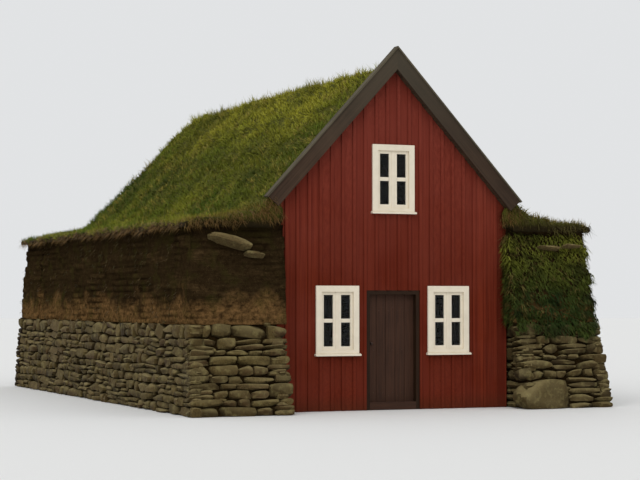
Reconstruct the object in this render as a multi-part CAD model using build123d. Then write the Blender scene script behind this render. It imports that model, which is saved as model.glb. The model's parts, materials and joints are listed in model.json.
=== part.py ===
"""A gabled turf house: a red timber front between thick walls of dry stone and turf, with a
turf roof that runs out over the walls and comes down steeply over the rear gable.

Frame: +X to the right along the front, +Y into the house, +Z up, with the origin on the
ground at the centre of the footprint. The front faces -Y. Sizes are in millimetres.
"""

import os
from math import cos, radians, sin, tan

from build123d import *

# Plan
GABLE_WIDTH = 3860  # clear width between the side walls
ROOM_LENGTH = 8270  # from the front wall to the rear wall
SIDE_WALL_FOOT = 1520  # thickness of a side wall at the ground
REAR_WALL_FOOT = 1500  # thickness of the rear wall at the ground
FRONT_FOOT = 700  # the side walls' foot stands this far in front of the timber front
FRONT_STONE_BATTER = 330  # the stone's front face leans back this far over its height
WALL_TOP_LAP = 110  # the turf's top still stands this far in front of the timber front
SIDE_BATTER = 150  # the outer faces lean in this far over the wall's height
REAR_BATTER = 250

# Heights of the masonry
STONE_HEIGHT = 1300  # dry stone up to here, stacked turf above
WALL_HEIGHT = 2720

# Turf roof
ROOF_SLOPE = 47.5  # degrees
TURF_THICKNESS = 170  # square to the slope
RIDGE_ROUNDING = 400
COURSE_COUNT = 4  # the turf on each slope lies in this many lapped courses below the ridge
COURSE_LAP = 60  # a course's lower edge stands this much above the next course
COURSE_RIM = 30  # the laps begin this far behind the barge caps
EAVE_RUNOUT = 20  # the turf leaves the slope this far beyond the bargeboards
EAVE_ROUNDING = 450
WALL_TURF_FALL = 7  # degrees, the turf's fall across the wall tops
WALL_TURF = 142  # thickness of the turf on the wall's outer edge
TURF_OVERHANG = 80  # it hangs over the wall's outer face by this much
TURF_EDGE_ROUNDING = 110
REAR_GABLE_TOP = 330  # thickness of the rear turf gable at the ridge
REAR_SHOULDER = 190  # width of the shoulder at the foot of the rear turf gable
REAR_SHOULDER_RISE = 60
REAR_BEND_ROUNDING = 300

# Timber roof
DECK_THICKNESS = 28
FRAME_COUNT = 7  # posts, joists and rafters stand in this many frames
RAFTER_WIDTH = 90
RAFTER_DEPTH = 120
RIDGE_BOARD_THICKNESS = 50
RIDGE_BOARD_DEPTH = 210
COLLAR_WIDTH = 60
COLLAR_DEPTH = 110
COLLAR_CLEARANCE = 516  # from the rafters' underside at the peak down to the collars' tops
PLATE_WIDTH = 140
PLATE_DEPTH = 110
POST_SIZE = 120

# Floors
SLEEPER_WIDTH = 100
SLEEPER_DEPTH = 60
FLOOR_BOARD = 30
LOFT_FLOOR_TOP = 2180
LOFT_BOARD = 30
JOIST_WIDTH = 100
JOIST_DEPTH = 140

# Timber front
FRONT_THICKNESS = 130
PANEL_MARGIN = 30  # the lower panels end this far above the window heads
GABLE_OVERHANG = 140  # from the front wall's face to the back of the bargeboards
BARGE_WIDTH = 215
BARGE_THICKNESS = 38
BARGE_TAIL = 160  # beyond the timber front on each side
CAP_THICKNESS = 25
CAP_DRIP = 22  # the cap stands proud of the bargeboard by this much
CAP_COVER = 90  # and covers this much of the turf behind it
CAP_TAIL = 20  # and runs on past the bargeboard's lower end

# Windows
WINDOW_WIDTH = 700
WINDOW_HEIGHT = 1050  # with its sill
HEAD_STEP = 70  # the lower windows' heads are this much above the door frame's
UPPER_SILL_HEIGHT = 2960
LOWER_WINDOW_OFFSET = 924  # from the middle of the house
CASING_WIDTH = 92
CASING_FOOT = 50  # height of the casing's lower member, on the sill
CASING_THICKNESS = 35
LINING_THICKNESS = 24
LINING_DEPTH = 90
MULLION_WIDTH = 46
MULLION_DEPTH = 70
STILE_WIDTH = 42
TOP_RAIL = 46
BOTTOM_RAIL = 58
SASH_THICKNESS = 36
SASH_PROUD = 5  # the sash stands this far in front of the wall's face
PANE_THICKNESS = 4
PANE_SETBACK = 17  # from the sash's face to the glass
SILL_THICKNESS = 35
SILL_NOSE = 24  # thickness of the sill at its front edge
SILL_DEPTH = 75
SILL_EAR = 20  # the sill is this much longer than the casing at each end

# Door
DOOR_FRAME_WIDTH = 890
DOOR_FRAME_HEIGHT = 1800
DOOR_FRAME_FACE = 60  # width of the jambs and head, seen from the front
DOOR_REBATE = 15
DOOR_CLEARANCE = 6  # all round the leaf
THRESHOLD_TOP = 100
THRESHOLD_STOP = 16
LEAF_THICKNESS = 32
LEAF_PROUD = 5  # the leaf's inner face stands this far inside the front wall
LEDGE_HEIGHT = 120
LEDGE_THICKNESS = 25
LEDGE_HEIGHTS = (230, 880, 1520)
LEDGE_MARGIN = 60  # from the leaf's edges
PIN_RADIUS = 6
PIN_CLEARANCE = 0.4
EYE_RADIUS = 11
STRAP_HEIGHTS = (430, 1390)
STRAP_WIDTH = 40
STRAP_TIP_WIDTH = 24
STRAP_THICKNESS = 5
STRAP_LENGTH = 460
PINTLE_ARM_HEIGHT = 14
PINTLE_ARM_LENGTH = 40
PINTLE_GAP = 2  # between the strap's eye and the arm below it
KNOB_HEIGHT = 1000
KNOB_INSET = 65  # from the leaf's free edge
KNOB_RADIUS = 24
KNOB_LENGTH = 55
KNOB_NECK_RADIUS = 9
ROSE_RADIUS = 28
ROSE_THICKNESS = 5

# Places worked out from the sizes above
RISE = tan(radians(ROOF_SLOPE))
PLUMB = 1 / cos(radians(ROOF_SLOPE))  # plumb height of a layer of unit thickness
RIDGE_TANGENT = RIDGE_ROUNDING * RISE  # from the peak down the slope to where it is straight
HALF_GABLE = GABLE_WIDTH / 2
HALF_WIDTH = HALF_GABLE + SIDE_WALL_FOOT
TOTAL_DEPTH = FRONT_FOOT + FRONT_THICKNESS + ROOM_LENGTH + REAR_WALL_FOOT
FRONT_FOOT_Y = -TOTAL_DEPTH / 2
REAR_FOOT_Y = TOTAL_DEPTH / 2
FACE_Y = FRONT_FOOT_Y + FRONT_FOOT  # outer face of the timber front
ROOM_FRONT_Y = FACE_Y + FRONT_THICKNESS
ROOM_REAR_Y = ROOM_FRONT_Y + ROOM_LENGTH
ROOF_FRONT_Y = FACE_Y - GABLE_OVERHANG

BARGE_END_X = HALF_GABLE + BARGE_TAIL
CAP_END_X = BARGE_END_X + CAP_TAIL * cos(radians(ROOF_SLOPE))
CAP_CORNER_X = CAP_END_X + CAP_THICKNESS * sin(radians(ROOF_SLOPE))
EAVE_TANGENT = EAVE_ROUNDING * tan(radians(ROOF_SLOPE - WALL_TURF_FALL) / 2)
EAVE_X = CAP_CORNER_X + EAVE_RUNOUT + EAVE_TANGENT / PLUMB
TURF_EDGE_X = HALF_WIDTH - SIDE_BATTER + TURF_OVERHANG
TURF_EDGE_Y = REAR_FOOT_Y - REAR_BATTER + TURF_OVERHANG
TURF_EDGE_Z = WALL_HEIGHT + WALL_TURF
EAVE_Z = TURF_EDGE_Z + (TURF_EDGE_X - EAVE_X) * tan(radians(WALL_TURF_FALL))
RIDGE_HEIGHT = EAVE_Z + EAVE_X * RISE  # where the two slopes of the turf would meet

DECK_TOP_PEAK = RIDGE_HEIGHT - TURF_THICKNESS * PLUMB
DECK_UNDER_PEAK = DECK_TOP_PEAK - DECK_THICKNESS * PLUMB
RAFTER_UNDER_PEAK = DECK_UNDER_PEAK - RAFTER_DEPTH * PLUMB
COLLAR_TOP = RAFTER_UNDER_PEAK - COLLAR_CLEARANCE
COLLAR_UNDER = COLLAR_TOP - COLLAR_DEPTH
PLATE_MIDDLE_X = HALF_GABLE - PLATE_WIDTH / 2
PLATE_TOP = RAFTER_UNDER_PEAK - PLATE_MIDDLE_X * RISE
POST_INNER_X = PLATE_MIDDLE_X - POST_SIZE / 2
FLOOR_TOP = SLEEPER_DEPTH + FLOOR_BOARD
JOIST_TOP = LOFT_FLOOR_TOP - LOFT_BOARD
LOWER_HEAD_HEIGHT = DOOR_FRAME_HEIGHT + HEAD_STEP
LOWER_SILL_HEIGHT = LOWER_HEAD_HEIGHT - WINDOW_HEIGHT
FRONT_SPLIT = LOWER_HEAD_HEIGHT + PANEL_MARGIN

DOOR_CLEAR_HALF = DOOR_FRAME_WIDTH / 2 - DOOR_FRAME_FACE
REBATE_HALF = DOOR_CLEAR_HALF + DOOR_REBATE
REBATE_Y = ROOM_FRONT_Y + LEAF_PROUD - LEAF_THICKNESS - DOOR_CLEARANCE
LEAF_HALF = REBATE_HALF - DOOR_CLEARANCE
LEAF_BOTTOM = THRESHOLD_TOP + DOOR_CLEARANCE
LEAF_TOP = DOOR_FRAME_HEIGHT - DOOR_FRAME_FACE + DOOR_REBATE - DOOR_CLEARANCE
LEAF_INNER_Y = ROOM_FRONT_Y + LEAF_PROUD
LEAF_OUTER_Y = LEAF_INNER_Y - LEAF_THICKNESS
PIN_X = REBATE_HALF - DOOR_CLEARANCE / 2
PIN_Y = LEAF_INNER_Y + EYE_RADIUS


def block(x, y, z):
    """A plain block from its (low, high) pairs along X, Y and Z."""
    size = [high - low for low, high in (x, y, z)]
    middle = [(high + low) / 2 for low, high in (x, y, z)]
    return Pos(*middle) * Box(*size)


def battered_block(low_x, low_y, low_z, high_x, high_y, high_z):
    """A block with leaning faces, lofted from its rectangle at low_z to the one at high_z."""
    sections = []
    for x, y, z in ((low_x, low_y, low_z), (high_x, high_y, high_z)):
        rectangle = Rectangle(x[1] - x[0], y[1] - y[0])
        sections.append(Pos((x[0] + x[1]) / 2, (y[0] + y[1]) / 2, z) * rectangle)
    return loft(sections, ruled=True)


def across(outline, front_y, rear_y):
    """Extrudes a face or a list of (x, z) corners from front_y back to rear_y."""
    face = make_face(Polyline(*outline, close=True)) if isinstance(outline, list) else outline
    return extrude(Plane.XZ.offset(-rear_y) * face, amount=rear_y - front_y)


def mirrored(solid):
    """The same piece on the other side of the house."""
    return mirror(solid, about=Plane.YZ)


def wall_front(z):
    """Y of the side walls' front face at height z: the stone leans back more than the turf."""
    if z <= STONE_HEIGHT:
        return FRONT_FOOT_Y + FRONT_STONE_BATTER * z / STONE_HEIGHT
    turf_batter = FRONT_FOOT - FRONT_STONE_BATTER - WALL_TOP_LAP
    share = (z - STONE_HEIGHT) / (WALL_HEIGHT - STONE_HEIGHT)
    return FRONT_FOOT_Y + FRONT_STONE_BATTER + turf_batter * share


def wall_side(z):
    """X of the side walls' battered outer face at height z."""
    return HALF_WIDTH - SIDE_BATTER * z / WALL_HEIGHT


def wall_rear(z):
    """Y of the rear wall's battered outer face at height z."""
    return REAR_FOOT_Y - REAR_BATTER * z / WALL_HEIGHT


def side_wall(low_z, high_z):
    """One course band of the right side wall, from its leaning front to the rear wall."""
    rectangles = []
    for z in (low_z, high_z):
        rectangles += [(HALF_GABLE, wall_side(z)), (wall_front(z), ROOM_REAR_Y), z]
    return battered_block(*rectangles)


def rear_wall(low_z, high_z):
    """One course band of the rear wall, across the whole width of the house."""
    rectangles = []
    for z in (low_z, high_z):
        rectangles += [(-wall_side(z), wall_side(z)), (ROOM_REAR_Y, wall_rear(z)), z]
    return battered_block(*rectangles)


def masonry():
    """Dry stone below and stacked turf above, in three walls."""
    stone = side_wall(0, STONE_HEIGHT)
    turf = side_wall(STONE_HEIGHT, WALL_HEIGHT)
    return {
        "right_wall_stone": stone,
        "left_wall_stone": mirrored(stone),
        "right_wall_turf": turf,
        "left_wall_turf": mirrored(turf),
        "rear_wall_stone": rear_wall(0, STONE_HEIGHT),
        "rear_wall_turf": rear_wall(STONE_HEIGHT, WALL_HEIGHT),
    }


def turf_cross_section():
    """Outline of the turf seen from the front: ridge, slopes, and the turf on the walls."""
    half = [(TURF_EDGE_X, WALL_HEIGHT), (TURF_EDGE_X, TURF_EDGE_Z), (EAVE_X, EAVE_Z)]
    other_half = [(-x, z) for x, z in reversed(half)]
    radii = [
        TURF_EDGE_ROUNDING,
        EAVE_ROUNDING,
        RIDGE_ROUNDING,
        EAVE_ROUNDING,
        TURF_EDGE_ROUNDING,
    ]
    skyline = FilletPolyline(*half, (0, RIDGE_HEIGHT), *other_half, radius=radii)
    return make_face(skyline + Line(other_half[-1], half[0]))


def turf_long_section():
    """Outline of the turf seen from the side: level ridge, rear gable, and the shoulder."""
    shoulder_y = TURF_EDGE_Y - REAR_SHOULDER
    shoulder_z = TURF_EDGE_Z + REAR_SHOULDER_RISE
    gable_top_y = ROOM_REAR_Y + REAR_GABLE_TOP
    rear_line = FilletPolyline(
        (TURF_EDGE_Y, WALL_HEIGHT),
        (TURF_EDGE_Y, TURF_EDGE_Z),
        (shoulder_y, shoulder_z),
        (gable_top_y, RIDGE_HEIGHT),
        radius=[TURF_EDGE_ROUNDING, REAR_BEND_ROUNDING],
    )
    rest = Polyline(
        (gable_top_y, RIDGE_HEIGHT),
        (ROOF_FRONT_Y, RIDGE_HEIGHT),
        (ROOF_FRONT_Y, WALL_HEIGHT),
        (TURF_EDGE_Y, WALL_HEIGHT),
    )
    return make_face(rear_line + rest)


def on_slope(distance, height):
    """The (x, z) of a place on the right slope of the turf: how far it lies from the peak down
    the slope, and how high square to it."""
    slope = radians(ROOF_SLOPE)
    x = distance * cos(slope) + height * sin(slope)
    return x, RIDGE_HEIGHT - distance * sin(slope) + height * cos(slope)


def course_gaps():
    """What the lapped courses leave out of the right slope: a wedge below each lower edge."""
    slope_end = EAVE_X * PLUMB - EAVE_TANGENT
    course = (slope_end - RIDGE_TANGENT) / COURSE_COUNT
    gaps = []
    for index in range(COURSE_COUNT):
        upper = RIDGE_TANGENT + index * course
        lower = upper + course
        outline = [
            on_slope(upper, -COURSE_LAP),
            on_slope(lower, 0),
            on_slope(lower, COURSE_LAP),
            on_slope(upper, COURSE_LAP),
        ]
        gaps.append(across(outline, ROOF_FRONT_Y + CAP_COVER + COURSE_RIM, ROOM_REAR_Y))
    return gaps


def turf_roof():
    """Turf over the two slopes and the walls, and the solid turf gable at the rear."""
    cross_form = across(turf_cross_section(), ROOF_FRONT_Y, TURF_EDGE_Y)
    long_form = extrude(Plane.YZ * turf_long_section(), amount=HALF_WIDTH, both=True)
    eave_z = DECK_TOP_PEAK - HALF_GABLE * RISE
    roof_space = across(
        [
            (-HALF_GABLE, WALL_HEIGHT),
            (-HALF_GABLE, eave_z),
            (0, DECK_TOP_PEAK),
            (HALF_GABLE, eave_z),
            (HALF_GABLE, WALL_HEIGHT),
        ],
        ROOF_FRONT_Y,
        ROOM_REAR_Y,
    )
    gaps = course_gaps()
    turf = (cross_form & long_form) - [roof_space, *gaps, *(mirrored(gap) for gap in gaps)]
    heights = (WALL_HEIGHT, RIDGE_HEIGHT)
    over_room = (ROOF_FRONT_Y, ROOM_REAR_Y)
    return {
        "roof_turf_right": turf & block((0, HALF_WIDTH), over_room, heights),
        "roof_turf_left": turf & block((-HALF_WIDTH, 0), over_room, heights),
        "rear_gable_turf": turf
        & block((-HALF_WIDTH, HALF_WIDTH), (ROOM_REAR_Y, REAR_FOOT_Y), heights),
    }


def frame_positions():
    """Y of the middle of each timber frame, from the front wall to the rear wall."""
    first = ROOM_FRONT_Y + POST_SIZE / 2
    step = (ROOM_LENGTH - POST_SIZE) / (FRAME_COUNT - 1)
    return [first + step * index for index in range(FRAME_COUNT)]


def roof_timbers():
    """Boarded deck, ridge board, rafter pairs with collars, and the plates under them."""
    deck = across(
        [
            (0, DECK_TOP_PEAK),
            (HALF_GABLE, DECK_TOP_PEAK - HALF_GABLE * RISE),
            (HALF_GABLE, DECK_UNDER_PEAK - HALF_GABLE * RISE),
            (0, DECK_UNDER_PEAK),
        ],
        ROOF_FRONT_Y,
        ROOM_REAR_Y,
    )
    head_x = RIDGE_BOARD_THICKNESS / 2
    ridge_top = DECK_UNDER_PEAK - head_x * RISE
    ridge_board = block(
        (-head_x, head_x),
        (ROOM_FRONT_Y, ROOM_REAR_Y),
        (ridge_top - RIDGE_BOARD_DEPTH, ridge_top),
    )
    rafter_outline = [
        (head_x, ridge_top),
        (HALF_GABLE, DECK_UNDER_PEAK - HALF_GABLE * RISE),
        (HALF_GABLE, PLATE_TOP),
        (PLATE_MIDDLE_X, PLATE_TOP),
        (head_x, RAFTER_UNDER_PEAK - head_x * RISE),
    ]
    lower_half = (RAFTER_UNDER_PEAK - COLLAR_UNDER) / RISE
    upper_half = (RAFTER_UNDER_PEAK - COLLAR_TOP) / RISE
    collar_outline = [
        (-lower_half, COLLAR_UNDER),
        (lower_half, COLLAR_UNDER),
        (upper_half, COLLAR_TOP),
        (-upper_half, COLLAR_TOP),
    ]
    rafters = []
    collars = []
    for y in frame_positions():
        rafter = across(rafter_outline, y - RAFTER_WIDTH / 2, y + RAFTER_WIDTH / 2)
        rafters += [rafter, mirrored(rafter)]
        collars.append(across(collar_outline, y - COLLAR_WIDTH / 2, y + COLLAR_WIDTH / 2))
    plate = block(
        (HALF_GABLE - PLATE_WIDTH, HALF_GABLE),
        (ROOM_FRONT_Y, ROOM_REAR_Y),
        (PLATE_TOP - PLATE_DEPTH, PLATE_TOP),
    )
    return {
        "roof_deck_right": deck,
        "roof_deck_left": mirrored(deck),
        "ridge_board": ridge_board,
        "rafters": Compound(children=rafters),
        "collars": Compound(children=collars),
        "wall_plates": Compound(children=[plate, mirrored(plate)]),
    }


def room_timbers():
    """Ground floor, posts, joists and the loft floor, which leaves the last bay open."""
    sleepers = []
    posts = []
    joists = []
    for y in frame_positions():
        sleepers.append(
            block(
                (-HALF_GABLE, HALF_GABLE),
                (y - SLEEPER_WIDTH / 2, y + SLEEPER_WIDTH / 2),
                (0, SLEEPER_DEPTH),
            )
        )
        post = block(
            (POST_INNER_X, POST_INNER_X + POST_SIZE),
            (y - POST_SIZE / 2, y + POST_SIZE / 2),
            (FLOOR_TOP, PLATE_TOP - PLATE_DEPTH),
        )
        posts += [post, mirrored(post)]
        joists.append(
            block(
                (-POST_INNER_X, POST_INNER_X),
                (y - JOIST_WIDTH / 2, y + JOIST_WIDTH / 2),
                (JOIST_TOP - JOIST_DEPTH, JOIST_TOP),
            )
        )
    ground_floor = block(
        (-HALF_GABLE, HALF_GABLE),
        (ROOM_FRONT_Y, ROOM_REAR_Y),
        (SLEEPER_DEPTH, FLOOR_TOP),
    )
    last_floor_joist = frame_positions()[-2]
    loft_floor = block(
        (-POST_INNER_X, POST_INNER_X),
        (ROOM_FRONT_Y, last_floor_joist + JOIST_WIDTH / 2),
        (JOIST_TOP, LOFT_FLOOR_TOP),
    )
    return {
        "floor_sleepers": Compound(children=sleepers),
        "ground_floor": ground_floor,
        "posts": Compound(children=posts),
        "loft_joists": Compound(children=joists),
        "loft_floor": loft_floor,
    }


def window_hole(middle_x, sill_z):
    """The hole that a window's lining fills, as a block through the front wall."""
    half = WINDOW_WIDTH / 2 - CASING_WIDTH + LINING_THICKNESS
    low_z = sill_z + SILL_THICKNESS + CASING_FOOT - LINING_THICKNESS
    high_z = sill_z + WINDOW_HEIGHT - CASING_WIDTH + LINING_THICKNESS
    return block((middle_x - half, middle_x + half), (FACE_Y, ROOM_FRONT_Y), (low_z, high_z))


def front_walls():
    """The timber front: a panel on each side of the door, and the gable over them."""
    door_half = DOOR_FRAME_WIDTH / 2
    panel = block((door_half, HALF_GABLE), (FACE_Y, ROOM_FRONT_Y), (0, FRONT_SPLIT))
    panel -= window_hole(LOWER_WINDOW_OFFSET, LOWER_SILL_HEIGHT)
    eave_z = DECK_UNDER_PEAK - HALF_GABLE * RISE
    gable = across(
        [
            (door_half, DOOR_FRAME_HEIGHT),
            (door_half, FRONT_SPLIT),
            (HALF_GABLE, FRONT_SPLIT),
            (HALF_GABLE, eave_z),
            (0, DECK_UNDER_PEAK),
            (-HALF_GABLE, eave_z),
            (-HALF_GABLE, FRONT_SPLIT),
            (-door_half, FRONT_SPLIT),
            (-door_half, DOOR_FRAME_HEIGHT),
        ],
        FACE_Y,
        ROOM_FRONT_Y,
    )
    gable -= window_hole(0, UPPER_SILL_HEIGHT)
    return {
        "front_wall_right": panel,
        "front_wall_left": mirrored(panel),
        "front_wall_gable": gable,
    }


def bargeboards():
    """Two boards that meet at the peak, square at their lower ends, each under a cap board."""
    slope = radians(ROOF_SLOPE)
    end_z = RIDGE_HEIGHT - BARGE_END_X * RISE
    cap_end_z = RIDGE_HEIGHT - CAP_END_X * RISE
    board = across(
        [
            (0, RIDGE_HEIGHT),
            (BARGE_END_X, end_z),
            (BARGE_END_X - BARGE_WIDTH * sin(slope), end_z - BARGE_WIDTH * cos(slope)),
            (0, RIDGE_HEIGHT - BARGE_WIDTH * PLUMB),
        ],
        ROOF_FRONT_Y - BARGE_THICKNESS,
        ROOF_FRONT_Y,
    )
    cap = across(
        [
            (0, RIDGE_HEIGHT),
            (0, RIDGE_HEIGHT + CAP_THICKNESS * PLUMB),
            (CAP_CORNER_X, cap_end_z + CAP_THICKNESS * cos(slope)),
            (CAP_END_X, cap_end_z),
        ],
        ROOF_FRONT_Y - BARGE_THICKNESS - CAP_DRIP,
        ROOF_FRONT_Y + CAP_COVER,
    )
    return {
        "bargeboard_right": board,
        "bargeboard_left": mirrored(board),
        "barge_cap_right": cap,
        "barge_cap_left": mirrored(cap),
    }


def window(place, middle_x, sill_z):
    """Casing with its lining and mullion, a pair of casements, their glass, and the sill."""
    half = WINDOW_WIDTH / 2
    low_z = sill_z + SILL_THICKNESS
    high_z = sill_z + WINDOW_HEIGHT
    clear_half = half - CASING_WIDTH
    clear_z = (low_z + CASING_FOOT, high_z - CASING_WIDTH)
    lining_half = clear_half + LINING_THICKNESS
    lining_z = (clear_z[0] - LINING_THICKNESS, clear_z[1] + LINING_THICKNESS)
    casing_y = (FACE_Y - CASING_THICKNESS, FACE_Y)
    lining_y = (FACE_Y, FACE_Y + LINING_DEPTH)
    clear_y = (casing_y[0], lining_y[1])
    casing = block((-half, half), casing_y, (low_z, high_z))
    lining = block((-lining_half, lining_half), lining_y, lining_z)
    clear = block((-clear_half, clear_half), clear_y, clear_z)
    sash_y = (FACE_Y - SASH_PROUD, FACE_Y - SASH_PROUD + SASH_THICKNESS)
    mullion_half = MULLION_WIDTH / 2
    mullion = block(
        (-mullion_half, mullion_half), (sash_y[0] - SASH_PROUD, sash_y[0] + MULLION_DEPTH), clear_z
    )
    frame = casing + lining - clear + mullion

    light_x = (mullion_half, clear_half)
    pane_x = (light_x[0] + STILE_WIDTH, light_x[1] - STILE_WIDTH)
    pane_z = (clear_z[0] + BOTTOM_RAIL, clear_z[1] - TOP_RAIL)
    pane_y = (sash_y[0] + PANE_SETBACK, sash_y[0] + PANE_SETBACK + PANE_THICKNESS)
    casement = block(light_x, sash_y, clear_z) - block(pane_x, sash_y, pane_z)
    pane = block(pane_x, pane_y, pane_z)

    sill_half = half + SILL_EAR
    sill_profile = Polyline(
        (FACE_Y, sill_z),
        (FACE_Y, low_z),
        (FACE_Y - CASING_THICKNESS, low_z),
        (FACE_Y - SILL_DEPTH, sill_z + SILL_NOSE),
        (FACE_Y - SILL_DEPTH, sill_z),
        close=True,
    )
    sill = extrude(Plane.YZ * make_face(sill_profile), amount=sill_half, both=True)
    at = Pos(middle_x, 0, 0)
    return {
        f"window_frame_{place}": at * frame,
        f"window_sash_{place}": at * Compound(children=[casement, mirrored(casement)]),
        f"window_glass_{place}": at * Compound(children=[pane, mirrored(pane)]),
        f"window_sill_{place}": at * sill,
    }


def doorway_outline(half, head_z):
    """Jambs and head as one outline round a clear opening of that half width and height."""
    outer = DOOR_FRAME_WIDTH / 2
    return [
        (-outer, 0),
        (-outer, DOOR_FRAME_HEIGHT),
        (outer, DOOR_FRAME_HEIGHT),
        (outer, 0),
        (half, 0),
        (half, head_z),
        (-half, head_z),
        (-half, 0),
    ]


def door_surround():
    """Rebated frame and threshold, and the two pintles that the leaf hangs on."""
    head_z = DOOR_FRAME_HEIGHT - DOOR_FRAME_FACE
    frame = across(doorway_outline(DOOR_CLEAR_HALF, head_z), FACE_Y, REBATE_Y)
    frame += across(
        doorway_outline(REBATE_HALF, head_z + DOOR_REBATE), REBATE_Y, ROOM_FRONT_Y
    )
    threshold = block(
        (-DOOR_CLEAR_HALF, DOOR_CLEAR_HALF),
        (FACE_Y, REBATE_Y),
        (0, THRESHOLD_TOP + THRESHOLD_STOP),
    )
    threshold += block(
        (-REBATE_HALF, REBATE_HALF), (REBATE_Y, ROOM_FRONT_Y), (0, THRESHOLD_TOP)
    )
    pintles = []
    for z in STRAP_HEIGHTS:
        arm_top = z - STRAP_WIDTH / 2 - PINTLE_GAP
        arm_z = (arm_top - PINTLE_ARM_HEIGHT, arm_top)
        pin_top = z + STRAP_WIDTH / 2 + PIN_RADIUS
        pin_height = pin_top - arm_z[0]
        pin = Pos(PIN_X, PIN_Y, arm_z[0] + pin_height / 2) * Cylinder(PIN_RADIUS, pin_height)
        arm_x = (PIN_X, PIN_X + PINTLE_ARM_LENGTH)
        arm = block(arm_x, (PIN_Y - PIN_RADIUS, PIN_Y + PIN_RADIUS), arm_z)
        root_x = (PIN_X + EYE_RADIUS, arm_x[1])
        root = block(root_x, (ROOM_FRONT_Y, PIN_Y), arm_z)
        pintles.append(pin + arm + root)
    return {
        "door_frame": frame,
        "door_threshold": threshold,
        "door_pintles": Compound(children=pintles),
    }


def knob(face_y, outwards):
    """A turned knob on its rose, on the leaf's face, pointing along Y by the sign given."""
    neck_end = KNOB_LENGTH - KNOB_RADIUS
    profile = make_face(
        Polyline(
            (0, 0),
            (ROSE_RADIUS, 0),
            (ROSE_RADIUS, ROSE_THICKNESS),
            (KNOB_NECK_RADIUS, ROSE_THICKNESS),
            (KNOB_NECK_RADIUS, neck_end),
            (0, neck_end),
            close=True,
        )
    )
    turned = revolve(profile, Axis.Y) + Pos(0, neck_end, 0) * Sphere(KNOB_RADIUS)
    turned &= Pos(0, KNOB_LENGTH / 2, 0) * Box(3 * KNOB_RADIUS, KNOB_LENGTH, 3 * KNOB_RADIUS)
    if outwards < 0:
        turned = mirror(turned, about=Plane.XZ)
    return Pos(KNOB_INSET - LEAF_HALF, face_y, KNOB_HEIGHT) * turned


def door():
    """Plank leaf with its ledges, strap hinges and knobs, shut in its frame."""
    leaf = block((-LEAF_HALF, LEAF_HALF), (LEAF_OUTER_Y, LEAF_INNER_Y), (LEAF_BOTTOM, LEAF_TOP))
    ledge_half = LEAF_HALF - LEDGE_MARGIN
    ledges = [
        block(
            (-ledge_half, ledge_half),
            (LEAF_INNER_Y, LEAF_INNER_Y + LEDGE_THICKNESS),
            (z - LEDGE_HEIGHT / 2, z + LEDGE_HEIGHT / 2),
        )
        for z in LEDGE_HEIGHTS
    ]
    straps = []
    for z in STRAP_HEIGHTS:
        outline = Polyline(
            (PIN_X, z - STRAP_WIDTH / 2),
            (PIN_X, z + STRAP_WIDTH / 2),
            (PIN_X - STRAP_LENGTH, z + STRAP_TIP_WIDTH / 2),
            (PIN_X - STRAP_LENGTH, z - STRAP_TIP_WIDTH / 2),
            close=True,
        )
        plate = across(make_face(outline), LEAF_INNER_Y, LEAF_INNER_Y + STRAP_THICKNESS)
        eye = Pos(PIN_X, PIN_Y, z) * Cylinder(EYE_RADIUS, STRAP_WIDTH)
        hole = Pos(PIN_X, PIN_Y, z) * Cylinder(PIN_RADIUS + PIN_CLEARANCE, 2 * STRAP_WIDTH)
        straps.append(plate + eye - hole)
    knobs = [knob(LEAF_OUTER_Y, -1), knob(LEAF_INNER_Y, 1)]
    return {
        "door_leaf": leaf,
        "door_ledges": Compound(children=ledges),
        "door_straps": Compound(children=straps),
        "door_knobs": Compound(children=knobs),
    }


def build():
    """Every node of the house, by name."""
    nodes = {}
    nodes.update(masonry())
    nodes.update(turf_roof())
    nodes.update(roof_timbers())
    nodes.update(room_timbers())
    nodes.update(front_walls())
    nodes.update(bargeboards())
    nodes.update(window("lower_left", -LOWER_WINDOW_OFFSET, LOWER_SILL_HEIGHT))
    nodes.update(window("lower_right", LOWER_WINDOW_OFFSET, LOWER_SILL_HEIGHT))
    nodes.update(window("upper", 0, UPPER_SILL_HEIGHT))
    nodes.update(door_surround())
    nodes.update(door())
    return nodes


if __name__ == "__main__":
    os.makedirs("parts", exist_ok=True)
    for name, shape in build().items():
        export_step(shape, f"parts/{name}.step")
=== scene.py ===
"""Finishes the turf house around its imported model: boards and battens, windows, plank door,
dry stone walls, stacked turf and a grass roof, with a plain floor, soft light and the camera.
"""

import json
from collections import namedtuple
from math import ceil, cos, floor, pi, radians, sin, tan
from random import Random

import bmesh
import bpy
from mathutils import Matrix, Vector, noise

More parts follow.
